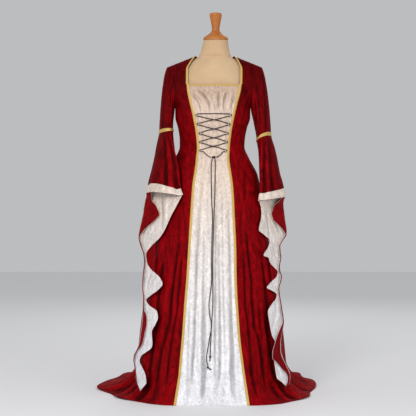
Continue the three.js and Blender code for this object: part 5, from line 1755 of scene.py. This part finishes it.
def cascade(name, trail):
    """The falling end with its soft folds, left alone where it leaves the bell."""
    lift = crease_depth(trail[..., 0], trail[..., 2], FALL_CREASES[name])
    row = np.arange(len(trail))[:, None]
    column = np.arange(trail.shape[1])[None, :]
    flat = (RING_BACK - 1 - RING_FRONT) * RING_FINE
    fade = step_up(row, 0, 5) * (1 - step_up(column, flat - 2, flat + RING_FINE))
    out = trail.copy()
    out[..., 1] -= lift * fade
    return out


def cuff_wrinkles(grid):
    """Low uneven puckers along a turned-back cuff."""
    along = np.arange(grid.shape[1])[None, :]
    down = np.linspace(0, np.pi, grid.shape[0])[:, None]
    wave = np.sin(along * 0.52 + 1.4 * np.sin(along * 0.19)) + 0.6 * np.sin(along * 1.13 + down)
    return CUFF_PUCKER * wave * np.sin(down)


# Body of the gown


def make_panels():
    looks = {
        "front_left": ("velvet_red", "front_side_left", FRONT_CREASES, 60, 7),
        "front_right": ("velvet_red", "front_side_right", FRONT_CREASES, 60, 7),
        "back": ("velvet_red", "back", BACK_CREASES, 60, 6),
        "insert": ("velvet_ivory", "front_insert", INSERT_CREASES, 24, 8),
    }
    for name, (slot, node, creases, floor, reach) in looks.items():
        grid = PANELS[name]
        fade = seam_fade(grid, BRAID_FINE, BRAID_FINE + SEAM_FADE)
        shaped = creased(grid, creases, fade, floor)
        if name != "insert":
            shaped = pooled(shaped, fade[0])
        cloth(node, shaped, slot, reach)


# Lacing


def make_lacing():
    line = curve_through(lacing_route(), LACING_STEP)
    cord_piece("lacing", line)
    place = front_at(KNOT["x"], KNOT["z"], KNOT["deep"] + 0.4)
    turns = []
    for t in np.linspace(0, 2 * np.pi * KNOT_TURNS, KNOT_POINTS):
        turns.append(place + np.array([
            KNOT["half"] * 0.52 * math.cos(t * 1.0) + 1.2 * math.sin(t * 2.6),
            -KNOT["deep"] * 0.45 * math.sin(t * 2.0 + 0.6) + 0.6,
            KNOT["tall"] * 0.5 * math.sin(t * 1.0) + 0.8 * math.cos(t * 1.7),
        ]))
    cord_piece("lace_knot", np.array(turns))
    for i, row in enumerate(LOOP_ROWS):
        for side, name in ((-1, "left"), (1, "right")):
            lace_loop(f"lace_loop_{name}_{i + 1}", side, row)


def lace_loop(node, side, row):
    """A small arch of ivory cord over the lace, sewn down above and below it."""
    x, span = loop_x(side, row), LOOP_HALF_SPAN - LOOP_CORD / 2
    line = []
    for t in np.linspace(0, 1, LOOP_POINTS):
        turn = math.pi * t
        along = -math.copysign(abs(math.cos(turn)) ** 0.62, math.cos(turn)) * span
        rise = LOOP_FOOT + (LOOP_HEIGHT - LOOP_CORD / 2 - LOOP_FOOT) * math.sin(turn) ** 0.42
        line.append(front_at(x, row["z"] + along, rise))
    look = {"diameter": LOOP_CORD, "sides": 10, "pitch": 4.0, "relief": 0.08}
    cord_piece(node, np.array(line), "loop_cord", **look)


# Dress form and stand


def form_ring(z, half, depth_of):
    offset = -half * np.cos(np.pi * np.arange(FORM_SIDE + 1) / FORM_SIDE)
    front = -np.maximum(FORM_LEAST, depth_of(offset, "front"))
    back = np.maximum(FORM_LEAST, depth_of(offset, "back"))
    x = axis_at(z) + offset
    level = np.full_like(x, z)
    near = np.stack([x, front, level], axis=-1)
    far = np.stack([x, back, level], axis=-1)[::-1]
    return np.concatenate([near, far])


def round_ring(row):
    def depth(offset, column):
        return row[column] * np.sqrt(np.maximum(0, 1 - (offset / row["half"]) ** 2))

    return form_ring(row["z"], row["half"], depth)


def shoulder_ring(z):
    def depth(offset, column):
        deep = yoke_depth(offset, z, float(body(column, UNDERARM)), FORM_CLEAR)
        neck = np.sqrt(np.maximum(0, NECK_DEPTH**2 - offset**2))
        return np.maximum(deep, neck) if z > SHOULDER_LEVELS[2] else deep

    slope = NECK_HALF + (SHOULDER - FORM_CLEAR - z) / SHOULDER_SLOPE
    top = float(ridge(SHOULDER_HALF))
    half = min(armhole_half((z - UNDERARM) / (top - UNDERARM)) - FORM_CLEAR, slope)
    return form_ring(z, half, depth)


def form_rings():
    rings = [round_ring(row) for row in FORM_ROWS]
    rings += [shoulder_ring(z) for z in SHOULDER_LEVELS]
    rings += [round_ring(row) for row in NECK_ROWS]
    return np.array(rings)


def neck_dip(place, share):
    """How far the neck's slanted top lies below a level one, more at the front."""
    return (NECK_SINK - NECK_TILT * place[1] / NECK_REACH) * share


def form_skin(rings):
    """Finer rings on a smooth curve through the given ones."""
    levels = rings[:, 0, 2]
    slope = np.gradient(rings, levels, axis=0)
    fine = [rings[0]]
    for i in range(len(rings) - 1):
        gap = levels[i + 1] - levels[i]
        steps = max(2, round(gap / FORM_STEP))
        for t in np.arange(1, steps + 1) / steps:
            h00, h10 = 2 * t**3 - 3 * t**2 + 1, t**3 - 2 * t**2 + t
            h01, h11 = -2 * t**3 + 3 * t**2, t**3 - t**2
            point = rings[i] * h00 + rings[i + 1] * h01
            point = point + (slope[i] * h10 + slope[i + 1] * h11) * gap
            point[:, 2] = levels[i] + gap * t
            fine.append(point)
    return np.array(fine)


def make_form():
    fine = form_skin(form_rings())
    fine[..., 2] -= neck_dip(np.moveaxis(fine, -1, 0), step_up(fine[..., 2], *NECK_BEND))
    obj = mesh_object("form_torso_jersey", fine.reshape(-1, 3), round_quads(len(fine), fine.shape[1]))
    finish_piece(obj, "form_cloth", "form_torso")


def make_cap():
    """The turned wooden cap and its finial, leaning with the slanted top of the neck."""
    profile = [
        (0.3, 1480), (30, 1480), (49, 1480.2), (51.6, 1481.8), (52.2, 1484.6), (51.8, 1488.4),
        (49.6, 1491.8), (45, 1495.2), (38, 1499), (30, 1503.2), (23, 1508.4), (18.2, 1514),
        (16.2, 1519.6), (15.9, 1525),
        (17, 1533), (18.8, 1544), (21, 1556), (23.2, 1566), (25, 1576), (25.6, 1582), (25.2, 1586),
        (23.6, 1588.6), (20, 1589.8), (10, 1590.2), (0.3, 1590.4),
    ]
    cap = lathed("form_cap_wood", eased(profile, CAP_STEP), CAP_SIDES, (CAP_AXIS, 0, 0))
    for vertex in cap.data.vertices:
        place = np.array(vertex.co) * METRE
        vertex.co.z -= neck_dip(place, 1 - float(step_up(place[2], *CAP_BEND))) / METRE
    finish_piece(cap, "cap_wood", "form_cap")


def finish_stand():
    """The pole and the base keep their solids and are given their finish."""
    for node in ("stand_pole", "stand_base"):
        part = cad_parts[node]
        part.data.materials.clear()
        part.data.materials.append(FINISHES["stand_metal"])


# Stage and light


def make_stage():
    mesh = bpy.data.meshes.new("floor")
    mesh.from_pydata([(-9, -9, 0), (9, -9, 0), (9, 9, 0), (-9, 9, 0)], [], [(0, 1, 2, 3)])
    floor = bpy.data.objects.new("floor", mesh)
    bpy.context.scene.collection.objects.link(floor)
    color = (0.86, 0.86, 0.87, 1)
    mesh.materials.append(Shader("pale_floor", Roughness=0.9, Base_Color=color).material)
    world = bpy.data.worlds.new("pale_world")
    world.use_nodes = True
    sky = world.node_tree.nodes["Background"].inputs
    sky["Color"].default_value = (0.97, 0.98, 1, 1)
    sky["Strength"].default_value = WORLD_STRENGTH
    bpy.context.scene.world = world
    for name, place, size, power in LIGHTS:
        data = bpy.data.lights.new(name, "AREA")
        data.size = size
        data.energy = power
        light = bpy.data.objects.new(name, data)
        light.location = place
        aim = np.array(LIGHTS_AIM) - np.array(place)
        light.rotation_euler = Vector(aim).to_track_quat("-Z", "Y").to_euler()
        bpy.context.scene.collection.objects.link(light)
    bpy.context.scene.view_settings.view_transform = "Standard"


# Making


make_camera()
FINISHES = {
    "velvet_red": red_velvet(),
    "velvet_ivory": ivory_velvet(),
    "gold_braid": gold_braid(),
    "lace_cord": lace_cord("plum_lace", (0.01, 0.004, 0.007), (0.042, 0.018, 0.028)),
    "loop_cord": lace_cord("ivory_loop_cord", (0.6, 0.54, 0.46), (0.85, 0.8, 0.72)),
    "form_cloth": jersey(),
    "cap_wood": turned_wood(),
    "stand_metal": satin_metal(),
}
lace_tail("left")
lace_tail("right")
PANELS = {name: panel(name) for name in ("front_left", "insert", "front_right", "back")}
make_panels()
make_braids()
make_sleeve("left")
make_sleeve("right")
make_lacing()
make_form()
make_cap()
finish_stand()
make_stage()
